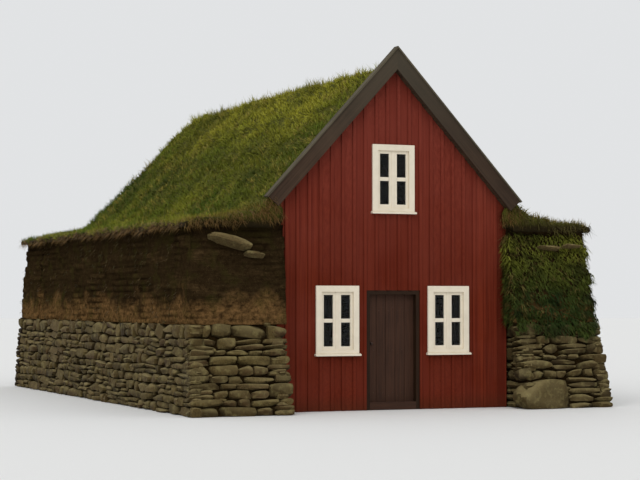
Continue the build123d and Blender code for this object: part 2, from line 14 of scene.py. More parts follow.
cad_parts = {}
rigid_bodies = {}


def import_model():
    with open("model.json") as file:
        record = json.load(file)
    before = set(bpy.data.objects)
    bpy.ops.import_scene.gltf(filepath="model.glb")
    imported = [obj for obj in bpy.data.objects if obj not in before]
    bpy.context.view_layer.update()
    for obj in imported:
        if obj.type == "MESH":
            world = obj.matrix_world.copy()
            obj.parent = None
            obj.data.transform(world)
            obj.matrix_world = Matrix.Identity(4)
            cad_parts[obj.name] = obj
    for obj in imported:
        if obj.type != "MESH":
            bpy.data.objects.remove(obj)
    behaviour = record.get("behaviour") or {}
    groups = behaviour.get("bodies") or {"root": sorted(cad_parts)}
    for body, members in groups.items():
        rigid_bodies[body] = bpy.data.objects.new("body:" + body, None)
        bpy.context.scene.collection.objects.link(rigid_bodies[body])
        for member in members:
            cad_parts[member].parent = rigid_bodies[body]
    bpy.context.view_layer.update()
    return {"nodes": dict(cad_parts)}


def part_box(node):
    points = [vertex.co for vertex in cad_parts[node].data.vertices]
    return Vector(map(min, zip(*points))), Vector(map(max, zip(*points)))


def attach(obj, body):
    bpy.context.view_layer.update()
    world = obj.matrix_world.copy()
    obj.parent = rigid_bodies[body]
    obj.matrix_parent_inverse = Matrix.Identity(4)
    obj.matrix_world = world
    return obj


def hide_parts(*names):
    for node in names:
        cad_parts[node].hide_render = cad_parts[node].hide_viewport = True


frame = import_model()
noise.seed_set(5)  # without a seed, noise_vector takes its offsets from the clock

# Places of the frame
GABLE_LOW, GABLE_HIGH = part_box("front_wall_gable")
FACE_Y, ROOM_FRONT_Y = GABLE_LOW.y, GABLE_HIGH.y
HALF_GABLE, DECK_UNDER_PEAK = GABLE_HIGH.x, GABLE_HIGH.z
DECK_FRONT_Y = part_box("roof_deck_right")[0].y
_, ROOM_REAR_Y, DECK_TOP_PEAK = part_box("roof_deck_right")[1]
BARGE_END_X, CAP_REAR_Y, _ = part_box("barge_cap_right")[1]
TURF_EDGE_X, _, TURF_APEX_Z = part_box("roof_turf_right")[1]
TURF_REAR_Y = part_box("rear_gable_turf")[1].y
STONE_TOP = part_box("right_wall_stone")[1].z
WALL_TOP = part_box("right_wall_turf")[1].z

ROOF_SLOPE = radians(47.5)
WINDOWS = ("lower_left", "lower_right", "upper")


def spans(node):
    """The node's (low, high) pairs along X, Y and Z."""
    return tuple(zip(*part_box(node)))


def clamped(value):
    return min(1.0, max(0.0, value))


# Mesh helpers

WELD_DISTANCE = 0.0001
JOINERY_EDGE, SAWN_EDGE, BOARD_EDGE = 0.004, 0.006, 0.003  # how far their edges are rounded
SHARP_ANGLE = radians(30)
FIRST_PLANK, SHORTEST_PLANK = (0.35, 1.0), 0.3  # shares of a plank's full length


def mesh_of(name, bm):
    """A mesh made of the bmesh, which is freed."""
    mesh = bpy.data.meshes.new(name)
    bm.to_mesh(mesh)
    bm.free()
    return mesh


def add_object(name, data):
    made = bpy.data.objects.new(name, data)
    bpy.context.scene.collection.objects.link(made)
    return made


def remove_object(thing):
    mesh = thing.data
    bpy.data.objects.remove(thing)
    bpy.data.meshes.remove(mesh)


def finish_piece(name, mesh, material, body="house", replaced=(), smooth=False):
    """Makes the piece of a mesh, on its body, and hides the nodes that it stands for."""
    piece = add_object(name, mesh)
    mesh.materials.clear()
    mesh.materials.append(material)
    mesh.shade_smooth() if smooth else mesh.shade_flat()
    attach(piece, body)
    if replaced:
        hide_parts(*replaced)
    return piece


def soften(piece, width, segments=2):
    """Rounds the piece's sharp edges with a live bevel, after welding loose triangles."""
    piece.modifiers.new("weld", "WELD").merge_threshold = WELD_DISTANCE
    bevel = piece.modifiers.new("bevel", "BEVEL")
    bevel.width = width
    bevel.segments = segments
    bevel.limit_method = "ANGLE"
    bevel.angle_limit = SHARP_ANGLE


def evaluated_mesh(piece):
    """The piece's mesh with its modifiers applied."""
    depsgraph = bpy.context.evaluated_depsgraph_get()
    return bpy.data.meshes.new_from_object(piece.evaluated_get(depsgraph))


def vertex_values(bm, name):
    """The layer that holds a number for each vertex, which the materials read by its name."""
    layers = bm.verts.layers.float
    return layers.get(name) or layers.new(name)


def add_block(bm, x, y, z):
    """A box between its (low, high) pairs along X, Y and Z. Gives its vertices."""
    middle = Vector((sum(x) / 2, sum(y) / 2, sum(z) / 2))
    size = (x[1] - x[0], y[1] - y[0], z[1] - z[0], 1)
    matrix = Matrix.Translation(middle) @ Matrix.Diagonal(size)
    return bmesh.ops.create_cube(bm, size=1, matrix=matrix)["verts"]


def add_board(bm, x, y, z, rng):
    """A box with a tone of its own, a number that its colour follows. Gives its vertices."""
    tone = vertex_values(bm, "tone")
    verts = add_block(bm, x, y, z)
    shade = rng.random()
    for vert in verts:
        vert[tone] = shade
    return verts


def cut_off(bm, point, normal):
    """Takes off all that lies beyond a plane, and closes the cut."""
    geometry = bm.verts[:] + bm.edges[:] + bm.faces[:]
    cut = bmesh.ops.bisect_plane(
        bm, geom=geometry, dist=0.00001, plane_co=point, plane_no=normal, clear_outer=True
    )
    rim = [part for part in cut["geom_cut"] if isinstance(part, bmesh.types.BMEdge)]
    if rim:
        bmesh.ops.edgeloop_fill(bm, edges=rim)


def cut_holes(piece, holes):
    """Takes each hole, given as three (low, high) pairs, out of the piece's mesh."""
    for hole in holes:
        block = bmesh.new()
        add_block(block, *hole)
        cutter = add_object("cutter", mesh_of("cutter", block))
        cut = piece.modifiers.new("cut", "BOOLEAN")
        cut.operation = "DIFFERENCE"
        cut.solver = "EXACT"
        cut.object = cutter
        whole = piece.data
        piece.data = evaluated_mesh(piece)
        piece.modifiers.remove(cut)
        bpy.data.meshes.remove(whole)
        remove_object(cutter)


def lay_planks(bm, across, along, thick, width, length, turn, rng, gap=0.003, relief=0.0015):
    """Rows of planks side by side, laid flat along Y and then moved by the matrix.

    Without a length, each row is one plank.
    """
    rows = max(1, round((across[1] - across[0]) / width))
    pitch = (across[1] - across[0]) / rows
    for row in range(rows):
        left = across[0] + row * pitch
        ends = [*along]
        if length:
            end = along[0] + length * rng.uniform(*FIRST_PLANK)
            while end < along[1] - SHORTEST_PLANK * length:
                ends.insert(-1, end)
                end += length
        for start, end in zip(ends, ends[1:]):
            x = (left + gap / 2, left + pitch - gap / 2)
            y = (start + gap / 2 * (start > along[0]), end - gap / 2 * (end < along[1]))
            z = (thick[0], thick[1] + rng.uniform(-relief, relief))
            verts = add_board(bm, x, y, z, rng)
            bmesh.ops.transform(bm, matrix=turn, verts=verts)


def add_copy(bm, shape, matrix, shade):
    """Adds a copy of the shape at its place, with a tone of its own."""
    copy = shape.copy()
    copy.transform(matrix)
    tones = copy.attributes.new("tone", "FLOAT", "POINT")
    tones.data.foreach_set("value", [shade] * len(copy.vertices))
    bm.from_mesh(copy)
    bpy.data.meshes.remove(copy)


# Shader helpers


def add_node(tree, kind, inputs=None, **settings):
    """Adds a node with its settings. An input that is a socket is linked, any other is set."""
    made = tree.nodes.new(kind)
    for key, value in settings.items():
        setattr(made, key, value)
    for key, value in (inputs or {}).items():
        if isinstance(value, bpy.types.NodeSocket):
            tree.links.new(value, made.inputs[key])
        else:
            made.inputs[key].default_value = value
    return made


def calculate(tree, operation, first, second=0.5, clamp=False):
    """One step of arithmetic on two values or sockets."""
    inputs = {0: first, 1: second}
    return add_node(tree, "ShaderNodeMath", inputs, operation=operation, use_clamp=clamp).outputs[0]


def linear(red, green, blue):
    """A colour from its 0 to 255 values, as the eye sees them."""
    parts = [part / 255 for part in (red, green, blue)]
    return (*[p / 12.92 if p <= 0.04045 else ((p + 0.055) / 1.055) ** 2.4 for p in parts], 1.0)


def mix(tree, share, first, second):
    """A colour between two, each a socket or its 0 to 255 values."""
    first, second = (linear(*one) if isinstance(one, tuple) else one for one in (first, second))
    inputs = {0: share, 6: first, 7: second}
    return add_node(tree, "ShaderNodeMix", inputs, data_type="RGBA").outputs[2]


def layered(tree, colour, *layers):
    """Lays colours over the first one after another, each given as (share, colour)."""
    for share, over in layers:
        colour = mix(tree, share, colour, over)
    return colour


def spread(tree, value, low, high, to_low=0.0, to_high=1.0):
    """Maps a value from one range onto another, clamped."""
    inputs = {0: value, 1: low, 2: high, 3: to_low, 4: to_high}
    return add_node(tree, "ShaderNodeMapRange", inputs).outputs[0]


def noise_value(tree, vector, scale, detail=3.0, roughness=0.5):
    inputs = {"Vector": vector, "Scale": scale, "Detail": detail, "Roughness": roughness}
    return add_node(tree, "ShaderNodeTexNoise", inputs).outputs["Fac"]


def named_value(tree, name):
    """A number that the mesh holds for each vertex."""
    return add_node(tree, "ShaderNodeAttribute", attribute_name=name).outputs["Fac"]


def height_of(tree, vector):
    """The upward part of a place or a direction."""
    return add_node(tree, "ShaderNodeSeparateXYZ", {0: vector}).outputs[2]


def new_group(name, inputs, outputs):
    """An empty shader group. Gives the group, and the sockets at its start and its end."""
    group = bpy.data.node_groups.new(name, "ShaderNodeTree")
    for label in inputs:
        kind = "NodeSocketVector" if label == "Place" else "NodeSocketFloat"
        group.interface.new_socket(label, in_out="INPUT", socket_type=kind)
    for label in outputs:
        group.interface.new_socket(label, in_out="OUTPUT", socket_type="NodeSocketFloat")
    start, end = group.nodes.new("NodeGroupInput"), group.nodes.new("NodeGroupOutput")
    return group, start.outputs, end.inputs


def grain_group():
    """Wood grain along Z: wide streaks for the colour, and fine ones for the relief."""
    labels = ("Place", "Seed", "Width", "Length")
    group, start, end = new_group("grain", labels, ("Streaks", "Relief"))
    along = calculate(group, "DIVIDE", 1.0, start["Length"])
    across = calculate(group, "DIVIDE", 1.0, start["Width"])
    stretch = add_node(group, "ShaderNodeCombineXYZ", {0: across, 1: across, 2: along}).outputs[0]
    own = calculate(group, "MULTIPLY", start["Seed"], 37.0)
    shift = add_node(group, "ShaderNodeCombineXYZ", {2: own}).outputs[0]
    inputs = {0: start["Place"], 1: stretch, 2: shift}
    place = add_node(group, "ShaderNodeVectorMath", inputs, operation="MULTIPLY_ADD").outputs[0]
    fine = noise_value(group, place, 4.0, 5.0, 0.65)
    group.links.new(noise_value(group, place, 1.0, 4.0, 0.6), end["Streaks"])
    group.links.new(calculate(group, "MULTIPLY_ADD", fine, 0.6), end["Relief"])
    return group


def blotch_group():
    """Soft-edged patches: a mask that covers about the given share of the surface."""
    group, start, end = new_group("blotches", ("Place", "Size", "Share", "Softness"), ("Mask",))
    scale = calculate(group, "DIVIDE", 1.0, start["Size"])
    value = noise_value(group, start["Place"], scale, 4.0, 0.6)
    edge = spread(group, start["Share"], 0.0, 1.0, 0.75, 0.25)
    above = calculate(group, "SUBTRACT", value, edge)
    slope = calculate(group, "DIVIDE", above, start["Softness"])
    group.links.new(calculate(group, "ADD", slope, 0.5, clamp=True), end["Mask"])
    return group


GRAIN = grain_group()
BLOTCHES = blotch_group()


def wood_grain(tree, place, seed, width, length):
    """The grain's streaks and relief at a place, in streaks of about that width and length."""
    inputs = {"Place": place, "Seed": seed, "Width": width, "Length": length}
    return add_node(tree, "ShaderNodeGroup", inputs, node_tree=GRAIN).outputs


def patches(tree, place, size, share, softness, strength=1.0):
    """The mask of the blotches, up to the given strength."""
    inputs = {"Place": place, "Size": size, "Share": share, "Softness": softness}
    mask = add_node(tree, "ShaderNodeGroup", inputs, node_tree=BLOTCHES).outputs["Mask"]
    return mask if strength == 1.0 else calculate(tree, "MULTIPLY", mask, strength)


def new_material(name, roughness=0.5, gloss=0.5):
    """A material with its tree, its surface shader and its Object coordinates."""
    material = bpy.data.materials.new(name)
    material.use_nodes = True
    tree = material.node_tree
    surface = tree.nodes["Principled BSDF"]
    surface.inputs["Roughness"].default_value = roughness
    surface.inputs["Specular IOR Level"].default_value = gloss
    return material, tree, surface, add_node(tree, "ShaderNodeTexCoord").outputs["Object"]


def set_relief(tree, surface, height, depth, strength=1.0):
    """Bumps the surface by a height, at its real depth in metres."""
    inputs = {"Height": height, "Distance": depth, "Strength": strength}
    tree.links.new(add_node(tree, "ShaderNodeBump", inputs).outputs[0], surface.inputs["Normal"])


def coat(tree, surface, colour, height, depth):
    """Gives the surface its colour and its relief."""
    tree.links.new(colour, surface.inputs["Base Color"])
    set_relief(tree, surface, height, depth)


# Materials

ALONG_Z = (0, 0, 0)
ALONG_Y = (radians(90), 0, 0)
ALONG_X = (0, radians(90), 0)
DOWN_RIGHT_SLOPE = (0, radians(90) - ROOF_SLOPE, 0)
DOWN_LEFT_SLOPE = (0, ROOF_SLOPE - radians(90), 0)


def timber(name, tones, turn=ALONG_Z, length=0.6, roughness=0.8, greyed=None):
    """Bare or stained wood in a middle, a dark and a light tone.

    Its grain runs along what turn brings to Z. greyed is a colour that it weathers towards,
    and the heights between which it does.
    """
    colour, dark, light = tones
    material, tree, surface, place = new_material(name, roughness, 0.15)
    turned = add_node(tree, "ShaderNodeMapping", {"Vector": place, "Rotation": turn}).outputs[0]
    tone = named_value(tree, "tone")
    grain = wood_grain(tree, turned, tone, 0.02, length)
    layers = [
        (calculate(tree, "MULTIPLY", tone, 0.35), light),
        (patches(tree, turned, 0.5, 0.35, 0.35, 0.35), light),
    ]
    if greyed:
        grey, low, high = greyed
        layers.append((spread(tree, height_of(tree, place), low, high, 0.0, 0.6), grey))
    streaked = mix(tree, spread(tree, grain["Streaks"], 0.35, 0.65), dark, colour)
    coat(tree, surface, layered(tree, streaked, *layers), grain["Relief"], 0.002)
    return material


def red_paint():
    """Matt iron-red paint on rough boards: each board has its shade, and the grain shows."""
    material, tree, surface, place = new_material("red_paint", 0.8, 0.08)
    tone = named_value(tree, "tone")
    grain = wood_grain(tree, place, tone, 0.03, 1.2)
    height = height_of(tree, place)
    # the boards' colour is paler towards the top
    towards_top = spread(tree, height, 1.9, 4.2)
    dull = mix(tree, towards_top, (96, 33, 16), (112, 45, 33))
    bright = mix(tree, towards_top, (111, 41, 21), (130, 58, 45))
    dark = mix(tree, towards_top, (85, 26, 12), (102, 38, 28))
    shade = mix(tree, tone, dull, bright)
    colour = layered(
        tree,
        mix(tree, spread(tree, grain["Streaks"], 0.3, 0.68), dark, shade),
        (patches(tree, place, 0.7, 0.4, 0.4, 0.2), (132, 66, 54)),  # faded
        (spread(tree, height, 0.25, 0.0, 0.0, 0.5), (64, 34, 18)),  # splashed at the foot
    )
    coat(tree, surface, colour, grain["Relief"], 0.001)
    return material


def white_paint():
    """Satin off-white paint with a little dirt in patches."""
    material, tree, surface, place = new_material("white_paint", 0.45)
    dirt = patches(tree, place, 0.12, 0.35, 0.5, 0.3)
    grain = wood_grain(tree, place, 0.0, 0.012, 0.2)
    coat(tree, surface, mix(tree, dirt, (230, 219, 198), (183, 173, 149)), grain["Relief"], 0.0006)
    return material


def window_glass():
    """Clear sheet glass, slightly uneven."""
    material, tree, surface, place = new_material("window_glass", 0.02)
    surface.inputs["Base Color"].default_value = (0.8, 0.84, 0.8, 1)
    surface.inputs["IOR"].default_value = 1.2
    surface.inputs["Transmission Weight"].default_value = 1.0
    set_relief(tree, surface, noise_value(tree, place, 6.0), 0.002, 0.3)
    return material


def wrought_iron():
    """Blackened iron with rust in small patches."""
    material, tree, surface, place = new_material("wrought_iron")
    rust = patches(tree, place, 0.02, 0.45, 0.3)
    tree.links.new(spread(tree, rust, 0.0, 1.0, 0.45, 0.85), surface.inputs["Roughness"])
    tree.links.new(spread(tree, rust, 0.0, 1.0, 0.8, 0.1), surface.inputs["Metallic"])
    colour = mix(tree, rust, (46, 42, 40), (88, 54, 36))
    coat(tree, surface, colour, noise_value(tree, place, 180.0), 0.0008)
    return material


MIDDLE_STONES = {0.25: (84, 70, 38), 0.45: (74, 51, 31), 0.7: (110, 95, 54), 0.85: (90, 68, 42)}


def field_stone():
    """Grey-brown field stone, each stone in a tone of its own and lichened, with painted light on
    its upward faces and earth and painted shade deep in the joints.
    """
    material, tree, surface, place = new_material("field_stone", 0.9, 0.15)
    shade = add_node(tree, "ShaderNodeValToRGB", {0: named_value(tree, "tone")}).outputs[0]
    ramp = shade.node.color_ramp.elements
    ramp[0].color = linear(48, 36, 19)
    ramp[1].color = linear(134, 116, 76)
    for spot, colour in MIDDLE_STONES.items():
        ramp.new(spot).color = linear(*colour)
    grit = noise_value(tree, place, 42.0, 6.0, 0.7)
    facing_up = height_of(tree, add_node(tree, "ShaderNodeNewGeometry").outputs["Normal"])
    colour = layered(
        tree,
        mix(tree, spread(tree, grit, 0.3, 0.75), (52, 43, 24), shade),
        (spread(tree, facing_up, 0.05, 0.85, 0.0, 0.55), (157, 142, 98)),  # painted light on the upward faces
        (patches(tree, place, 0.09, 0.3, 0.2, 0.35), (154, 143, 94)),  # lichen
        (patches(tree, place, 0.35, 0.4, 0.25, 0.4), (76, 60, 30)),  # stained
        # earth and painted shade deep in the joints
        (named_value(tree, "earth"), (34, 24, 9)),
    )
    relief = calculate(tree, "ADD", grit, noise_value(tree, place, 14.0, 4.0))
    coat(tree, surface, colour, relief, 0.014)
    return material


def stacked_turf():
    """Dark earth of stacked turf: ochre and rough above the stones, with roots and moss, and
    painted shade in its grooves and under the eaves.
    """
    material, tree, surface, place = new_material("stacked_turf", 1.0, 0.0)
    height = height_of(tree, place)
    ragged = calculate(tree, "MULTIPLY", noise_value(tree, place, 2.2, 5.0), -0.9)
    level = calculate(tree, "ADD", height, ragged)
    flat_place = add_node(tree, "ShaderNodeMapping", {"Vector": place, "Scale": (3, 3, 30)})
    strips = noise_value(tree, flat_place.outputs[0], 1.0, 5.0, 0.65)
    brown = mix(tree, named_value(tree, "tone"), (60, 47, 29), (84, 66, 42))
    dark = mix(tree, spread(tree, strips, 0.35, 0.65), (48, 37, 22), brown)
    ochre = spread(tree, level, STONE_TOP + 0.02, STONE_TOP - 0.22)
    earth = mix(tree, ochre, dark, (130, 98, 60))
    roots = noise_value(tree, place, 15.0, 8.0, 0.75)
    pale_roots = noise_value(tree, place, 70.0, 3.0, 0.6)
    colour = layered(
        tree,
        mix(tree, spread(tree, roots, 0.34, 0.66), (34, 24, 12), earth),
        (spread(tree, pale_roots, 0.62, 0.72, 0.0, 0.5), (120, 100, 66)),
        (patches(tree, place, 0.3, 0.3, 0.2, 0.35), (62, 62, 24)),  # moss
        # painted shade in the worn grooves
        (calculate(tree, "MULTIPLY", named_value(tree, "earth"), 0.7), (30, 21, 11)),
        (spread(tree, height, WALL_TOP - 0.35, WALL_TOP - 0.05, 0.0, 0.4), (26, 18, 9)),  # painted shade under the eaves
    )
    coat(tree, surface, colour, calculate(tree, "ADD", roots, strips), 0.035)
    return material


def packed_earth():
    """The dark earth that the stones are bedded in."""
    material, tree, surface, place = new_material("packed_earth", 1.0, 0.0)
    crumbs = noise_value(tree, place, 40.0, 5.0, 0.7)
    colour = mix(tree, spread(tree, crumbs, 0.3, 0.7), (22, 15, 6), (52, 39, 20))
    coat(tree, surface, colour, crumbs, 0.03)
    return material


def ground_under_grass():
    """The turf between the blades: thatch of dead grass and moss, and dark earth at its foot,
    deepened as painted shade under the hanging grass.
    """
    material, tree, surface, place = new_material("ground_under_grass", 1.0, 0.1)
    thatch = noise_value(tree, place, 30.0, 5.0, 0.7)
    colour = mix(tree, spread(tree, thatch, 0.3, 0.7), (64, 60, 22), (96, 98, 38))
    # dark earth at the turf's foot, partly painted shade under the hanging grass
    foot = spread(tree, height_of(tree, place), WALL_TOP + 0.18, WALL_TOP + 0.07, 0.0, 0.95)
    coat(tree, surface, mix(tree, foot, colour, (36, 27, 14)), thatch, 0.03)
    return material


DARKEST_LEVEL = WALL_TOP + 1.15  # half way up the slopes the grass is darkest
# the roof's grass is painted lighter between these heights, as painted light
UPPER_SLOPES = (WALL_TOP + 1.3, TURF_APEX_Z)


def grass(
    name, tones, dead_share, right_shade=0.0, patchy=0.7, dry=0.0, hollow_size=1.7, sunny=UPPER_SLOPES
):
    """Grass in the tones of its root, blade and tip and of dead blades, green in patches.

    right_shade is how much darker it is painted over the right wall, as painted shade, dry how
    brown it is along the wall tops' front edge, patchy how strongly its patches turn yellower,
    hollow_size how wide its dark patches are, and sunny are the heights between which it
    turns yellower and lighter, as painted light.
    """
    root, blade, tip, dead = tones
    material, tree, surface, place = new_material(name, 0.7, 0.2)
    tone = named_value(tree, "tone")
    across, deep, height = add_node(tree, "ShaderNodeSeparateXYZ", {0: place}).outputs
    in_patch = patches(tree, place, 2.2, 0.5, 0.22, patchy)
    # painted light: between the sunny heights the grass turns yellower and lighter
    upper = spread(tree, height, *sunny, -0.1, 0.75)
    yellow = calculate(tree, "ADD", in_patch, upper, clamp=True)
    in_hollow = patches(tree, place, hollow_size, 0.42, 0.14, 0.55)
    off_level = calculate(tree, "ABSOLUTE", calculate(tree, "SUBTRACT", height, DARKEST_LEVEL))
    mid_slope_dark = spread(tree, off_level, 0.25, 0.65, 0.3, 0.0)
    streak_place = add_node(tree, "ShaderNodeMapping", {"Vector": place, "Scale": (0.5, 1.6, 0.5)})
    streak = spread(tree, noise_value(tree, streak_place.outputs[0], 1.3, 3.0), 0.5, 0.62)
    dead_here = calculate(tree, "ADD", calculate(tree, "MULTIPLY", streak, 0.35), dead_share)
    front_edge = spread(tree, deep, FACE_Y + 0.8, FACE_Y + 0.1, 0.0, dry)
    on_wall_top = spread(tree, height, WALL_TOP + 0.5, WALL_TOP + 0.3)
    grown = layered(
        tree,
        mix(tree, yellow, blade, tip),
        (calculate(tree, "ADD", in_hollow, mid_slope_dark, clamp=True), root),
        (calculate(tree, "MULTIPLY", tone, 0.22), root),
        (calculate(tree, "LESS_THAN", tone, dead_here), dead),
        (calculate(tree, "MULTIPLY", front_edge, on_wall_top), (116, 94, 44)),
        # painted shade over the right wall
        (spread(tree, across, HALF_GABLE, HALF_GABLE + 0.3, 0.0, right_shade), (66, 66, 26)),
    )
    from_root = spread(tree, named_value(tree, "rise"), -0.25, 0.45)
    tree.links.new(mix(tree, from_root, root, grown), surface.inputs["Base Color"])
    return material


RED = red_paint()
WHITE = white_paint()
GLASS = window_glass()
IRON = wrought_iron()
STONE = field_stone()
TURF_EARTH = stacked_turf()
PACKED_EARTH = packed_earth()
UNDER_GRASS = ground_under_grass()

BARGE_TONES = ((68, 51, 39), (48, 36, 27), (82, 65, 50))
SHADED_BARGE_TONES = ((61, 46, 35), (43, 32, 24), (74, 59, 45))
BARGE_GREYED = ((72, 68, 56), WALL_TOP + 1, TURF_APEX_Z)
CAP_TONES = ((88, 80, 64), (60, 54, 43), (112, 104, 84))
DOOR_TONES = ((62, 39, 27), (45, 28, 19), (75, 50, 37))
# the door frame is darker than the door, as painted shade round the recessed door
SHADED_DOOR_FRAME_TONES = ((42, 25, 11), (30, 17, 7), (52, 33, 17))
ROOM_TONES = ((112, 88, 62), (80, 60, 40), (134, 110, 82))
# darker than the room's timbers: aged wood, and painted shade where the deck shows under the
# bargeboards
DECK_TONES = ((70, 54, 40), (48, 36, 26), (86, 68, 50))
BARGE_LEFT = timber(
    "bargeboard_left_wood", BARGE_TONES, DOWN_LEFT_SLOPE, 0.8, greyed=BARGE_GREYED
)
BARGE_RIGHT = timber(
    "bargeboard_right_wood", SHADED_BARGE_TONES, DOWN_RIGHT_SLOPE, 0.8, greyed=BARGE_GREYED
)
CAP_LEFT = timber("barge_cap_left_wood", CAP_TONES, DOWN_LEFT_SLOPE, 0.8)
CAP_RIGHT = timber("barge_cap_right_wood", CAP_TONES, DOWN_RIGHT_SLOPE, 0.8)
DOOR_WOOD = timber("door_wood", DOOR_TONES, ALONG_Z, 0.5, 0.65)
SHADED_DOOR_FRAME_WOOD = timber("door_frame_wood", SHADED_DOOR_FRAME_TONES, ALONG_Z, 0.5, 0.65)
DOOR_LEDGE_WOOD = timber("door_ledge_wood", DOOR_TONES, ALONG_X, 0.5, 0.65)
DECK_WOOD = timber("deck_wood", DECK_TONES, ALONG_Y)
ROOM_WOOD_UP = timber("room_wood_upright", ROOM_TONES)
ROOM_WOOD_ACROSS = timber("room_wood_across", ROOM_TONES, ALONG_X)
ROOM_WOOD_DEEP = timber("room_wood_lengthways", ROOM_TONES, ALONG_Y)

GRASS_TONES = ((46, 54, 9), (88, 108, 21), (164, 160, 47), (144, 132, 54))
HANGING_TONES = ((62, 46, 22), (92, 71, 33), (109, 86, 42), (120, 91, 49))
WALL_GRASS_TONES = ((36, 30, 14), (70, 68, 30), (84, 76, 38), (96, 78, 48))
OVERGROWTH_TONES = ((24, 31, 10), (36, 60, 20), (130, 132, 45), (100, 88, 44))
# the growth is painted lighter between these heights, as painted light
GROWTH_LIGHT = (STONE_TOP + 0.4, WALL_TOP - 0.3)
GRASS = grass("roof_grass", GRASS_TONES, 0.05, dry=0.75)
HANGING_GRASS = grass("hanging_grass", HANGING_TONES, 0.5, right_shade=0.8)
WALL_GRASS = grass("wall_grass", WALL_GRASS_TONES, 0.3)
OVERGROWTH = grass(
    "overgrowth", OVERGROWTH_TONES, 0.05, patchy=0.35, hollow_size=0.4, sunny=GROWTH_LIGHT
)

# Nodes that keep their solids

JOINERY = {
    "bargeboard_left": BARGE_LEFT,
    "bargeboard_right": BARGE_RIGHT,
    "barge_cap_left": CAP_LEFT,
    "barge_cap_right": CAP_RIGHT,
    "door_frame": SHADED_DOOR_FRAME_WOOD,
    "door_ledges": DOOR_LEDGE_WOOD,
    "door_threshold": DOOR_LEDGE_WOOD,
    **{f"window_{part}_{place}": WHITE for place in WINDOWS for part in ("frame", "sash", "sill")},
}
UNROUNDED = {
    "door_straps": IRON,
    "door_pintles": IRON,
    "door_knobs": IRON,
    **{f"window_glass_{place}": GLASS for place in WINDOWS},
}
ROOM_TIMBERS = {
    "posts": ROOM_WOOD_UP,
    "wall_plates": ROOM_WOOD_DEEP,
    "ridge_board": ROOM_WOOD_DEEP,
    "loft_joists": ROOM_WOOD_ACROSS,
    "floor_sleepers": ROOM_WOOD_ACROSS,
    "collars": ROOM_WOOD_ACROSS,
    "rafters": ROOM_WOOD_ACROSS,
}


def kept_nodes():
    """Joinery, ironwork, glass and the room's timbers get their materials and worn edges."""
    for node, material in {**JOINERY, **UNROUNDED, **ROOM_TIMBERS}.items():
        part = frame["nodes"][node]
        part.data.materials.clear()
        part.data.materials.append(material)
        if node in JOINERY:
            soften(part, JOINERY_EDGE)
        elif node in ROOM_TIMBERS:
            soften(part, SAWN_EDGE, 1)


# Timber front

STANDING = Matrix.Rotation(radians(90), 4, "X")
BOARD_COUNT = 21
BOARD_THICKNESS = 0.025
BATTEN_WIDTH, BATTEN_THICKNESS = 0.052, 0.022
BATTEN_PLAY = 0.004  # a batten lies up to this far off its joint, and this far into the boards
LINING_BOARD_WIDTH, LINING_BOARD_THICKNESS = 0.15, 0.022
CASING_LINING = 0.024
STUD_GAP = 0.002  # the studding stays this far behind the boards and the lining
PAST = 0.2  # a hole's cutter runs this far past both faces of the front
BAR_RISE, BAR_SET_BACK = 0.058, 0.003  # a glazing bar lies this far behind the sash's face
PANE_WIDTH = 0.148


def upright(front_y):
    """Turns planks laid flat along Y to stand along Z, with their top face at front_y."""
    return Matrix.Translation((0, front_y, 0)) @ STANDING


def opening(node, depth, rim=0.0, below=0.0):
    """A hole with the node's outline and a rim round it, lower by below, through the depth."""
    low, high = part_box(node)
    return (low.x - rim, high.x + rim), depth, (low.z - rim - below, high.z + rim)


def timber_front():
    """Boards and battens outside, a lining of boards inside, and the studding between."""
    rng = Random(11)
    width, rise = (-HALF_GABLE, HALF_GABLE), (0, DECK_UNDER_PEAK + 0.05)
    pitch = 2 * HALF_GABLE / BOARD_COUNT
    depth = (FACE_Y - PAST, ROOM_FRONT_Y + PAST)
    door_hole = opening("door_frame", depth, below=0.1)
    panes = [opening(f"window_sash_{place}", depth, CASING_LINING) for place in WINDOWS]
    casings = [
        opening(f"window_{part}_{place}", depth) for place in WINDOWS for part in ("frame", "sill")
    ]

    def finish_layer(name, bm, material, holes, replaced=()):
        for side in (-1, 1):
            cut_off(bm, (0, 0, DECK_UNDER_PEAK), (side * sin(ROOF_SLOPE), 0, cos(ROOF_SLOPE)))
        piece = finish_piece(name, mesh_of(name, bm), material, replaced=replaced)
        cut_holes(piece, [*holes, door_hole])
        return piece

    boards = bmesh.new()
    thick = (-BOARD_THICKNESS, 0)
    lay_planks(boards, width, rise, thick, pitch, None, upright(FACE_Y), rng, relief=0.003)
    nodes = ("front_wall_left", "front_wall_right", "front_wall_gable")
    soften(finish_layer("front_boards", boards, RED, panes, nodes), BOARD_EDGE, 1)

    battens = bmesh.new()
    for index in range(BOARD_COUNT + 1):
        middle = -HALF_GABLE + index * pitch + rng.uniform(-BATTEN_PLAY, BATTEN_PLAY)
        half = BATTEN_WIDTH / 2 * rng.uniform(0.92, 1.08)
        span = (max(middle - half, -HALF_GABLE), min(middle + half, HALF_GABLE))
        front_y = FACE_Y - BATTEN_THICKNESS * rng.uniform(0.9, 1.05)
        add_board(battens, span, (front_y, FACE_Y + BATTEN_PLAY), rise, rng)
    soften(finish_layer("front_battens", battens, RED, casings), JOINERY_EDGE, 1)

    lining = bmesh.new()
    thick = (0, LINING_BOARD_THICKNESS)
    lay_planks(lining, width, rise, thick, LINING_BOARD_WIDTH, None, upright(ROOM_FRONT_Y), rng)
    finish_layer("front_lining", lining, ROOM_WOOD_UP, panes)

    studding = bmesh.new()
    front_y = FACE_Y + BOARD_THICKNESS + STUD_GAP
    rear_y = ROOM_FRONT_Y - LINING_BOARD_THICKNESS - STUD_GAP
    add_block(studding, width, (front_y, rear_y), rise)
    finish_layer("front_studding", studding, ROOM_WOOD_UP, panes)


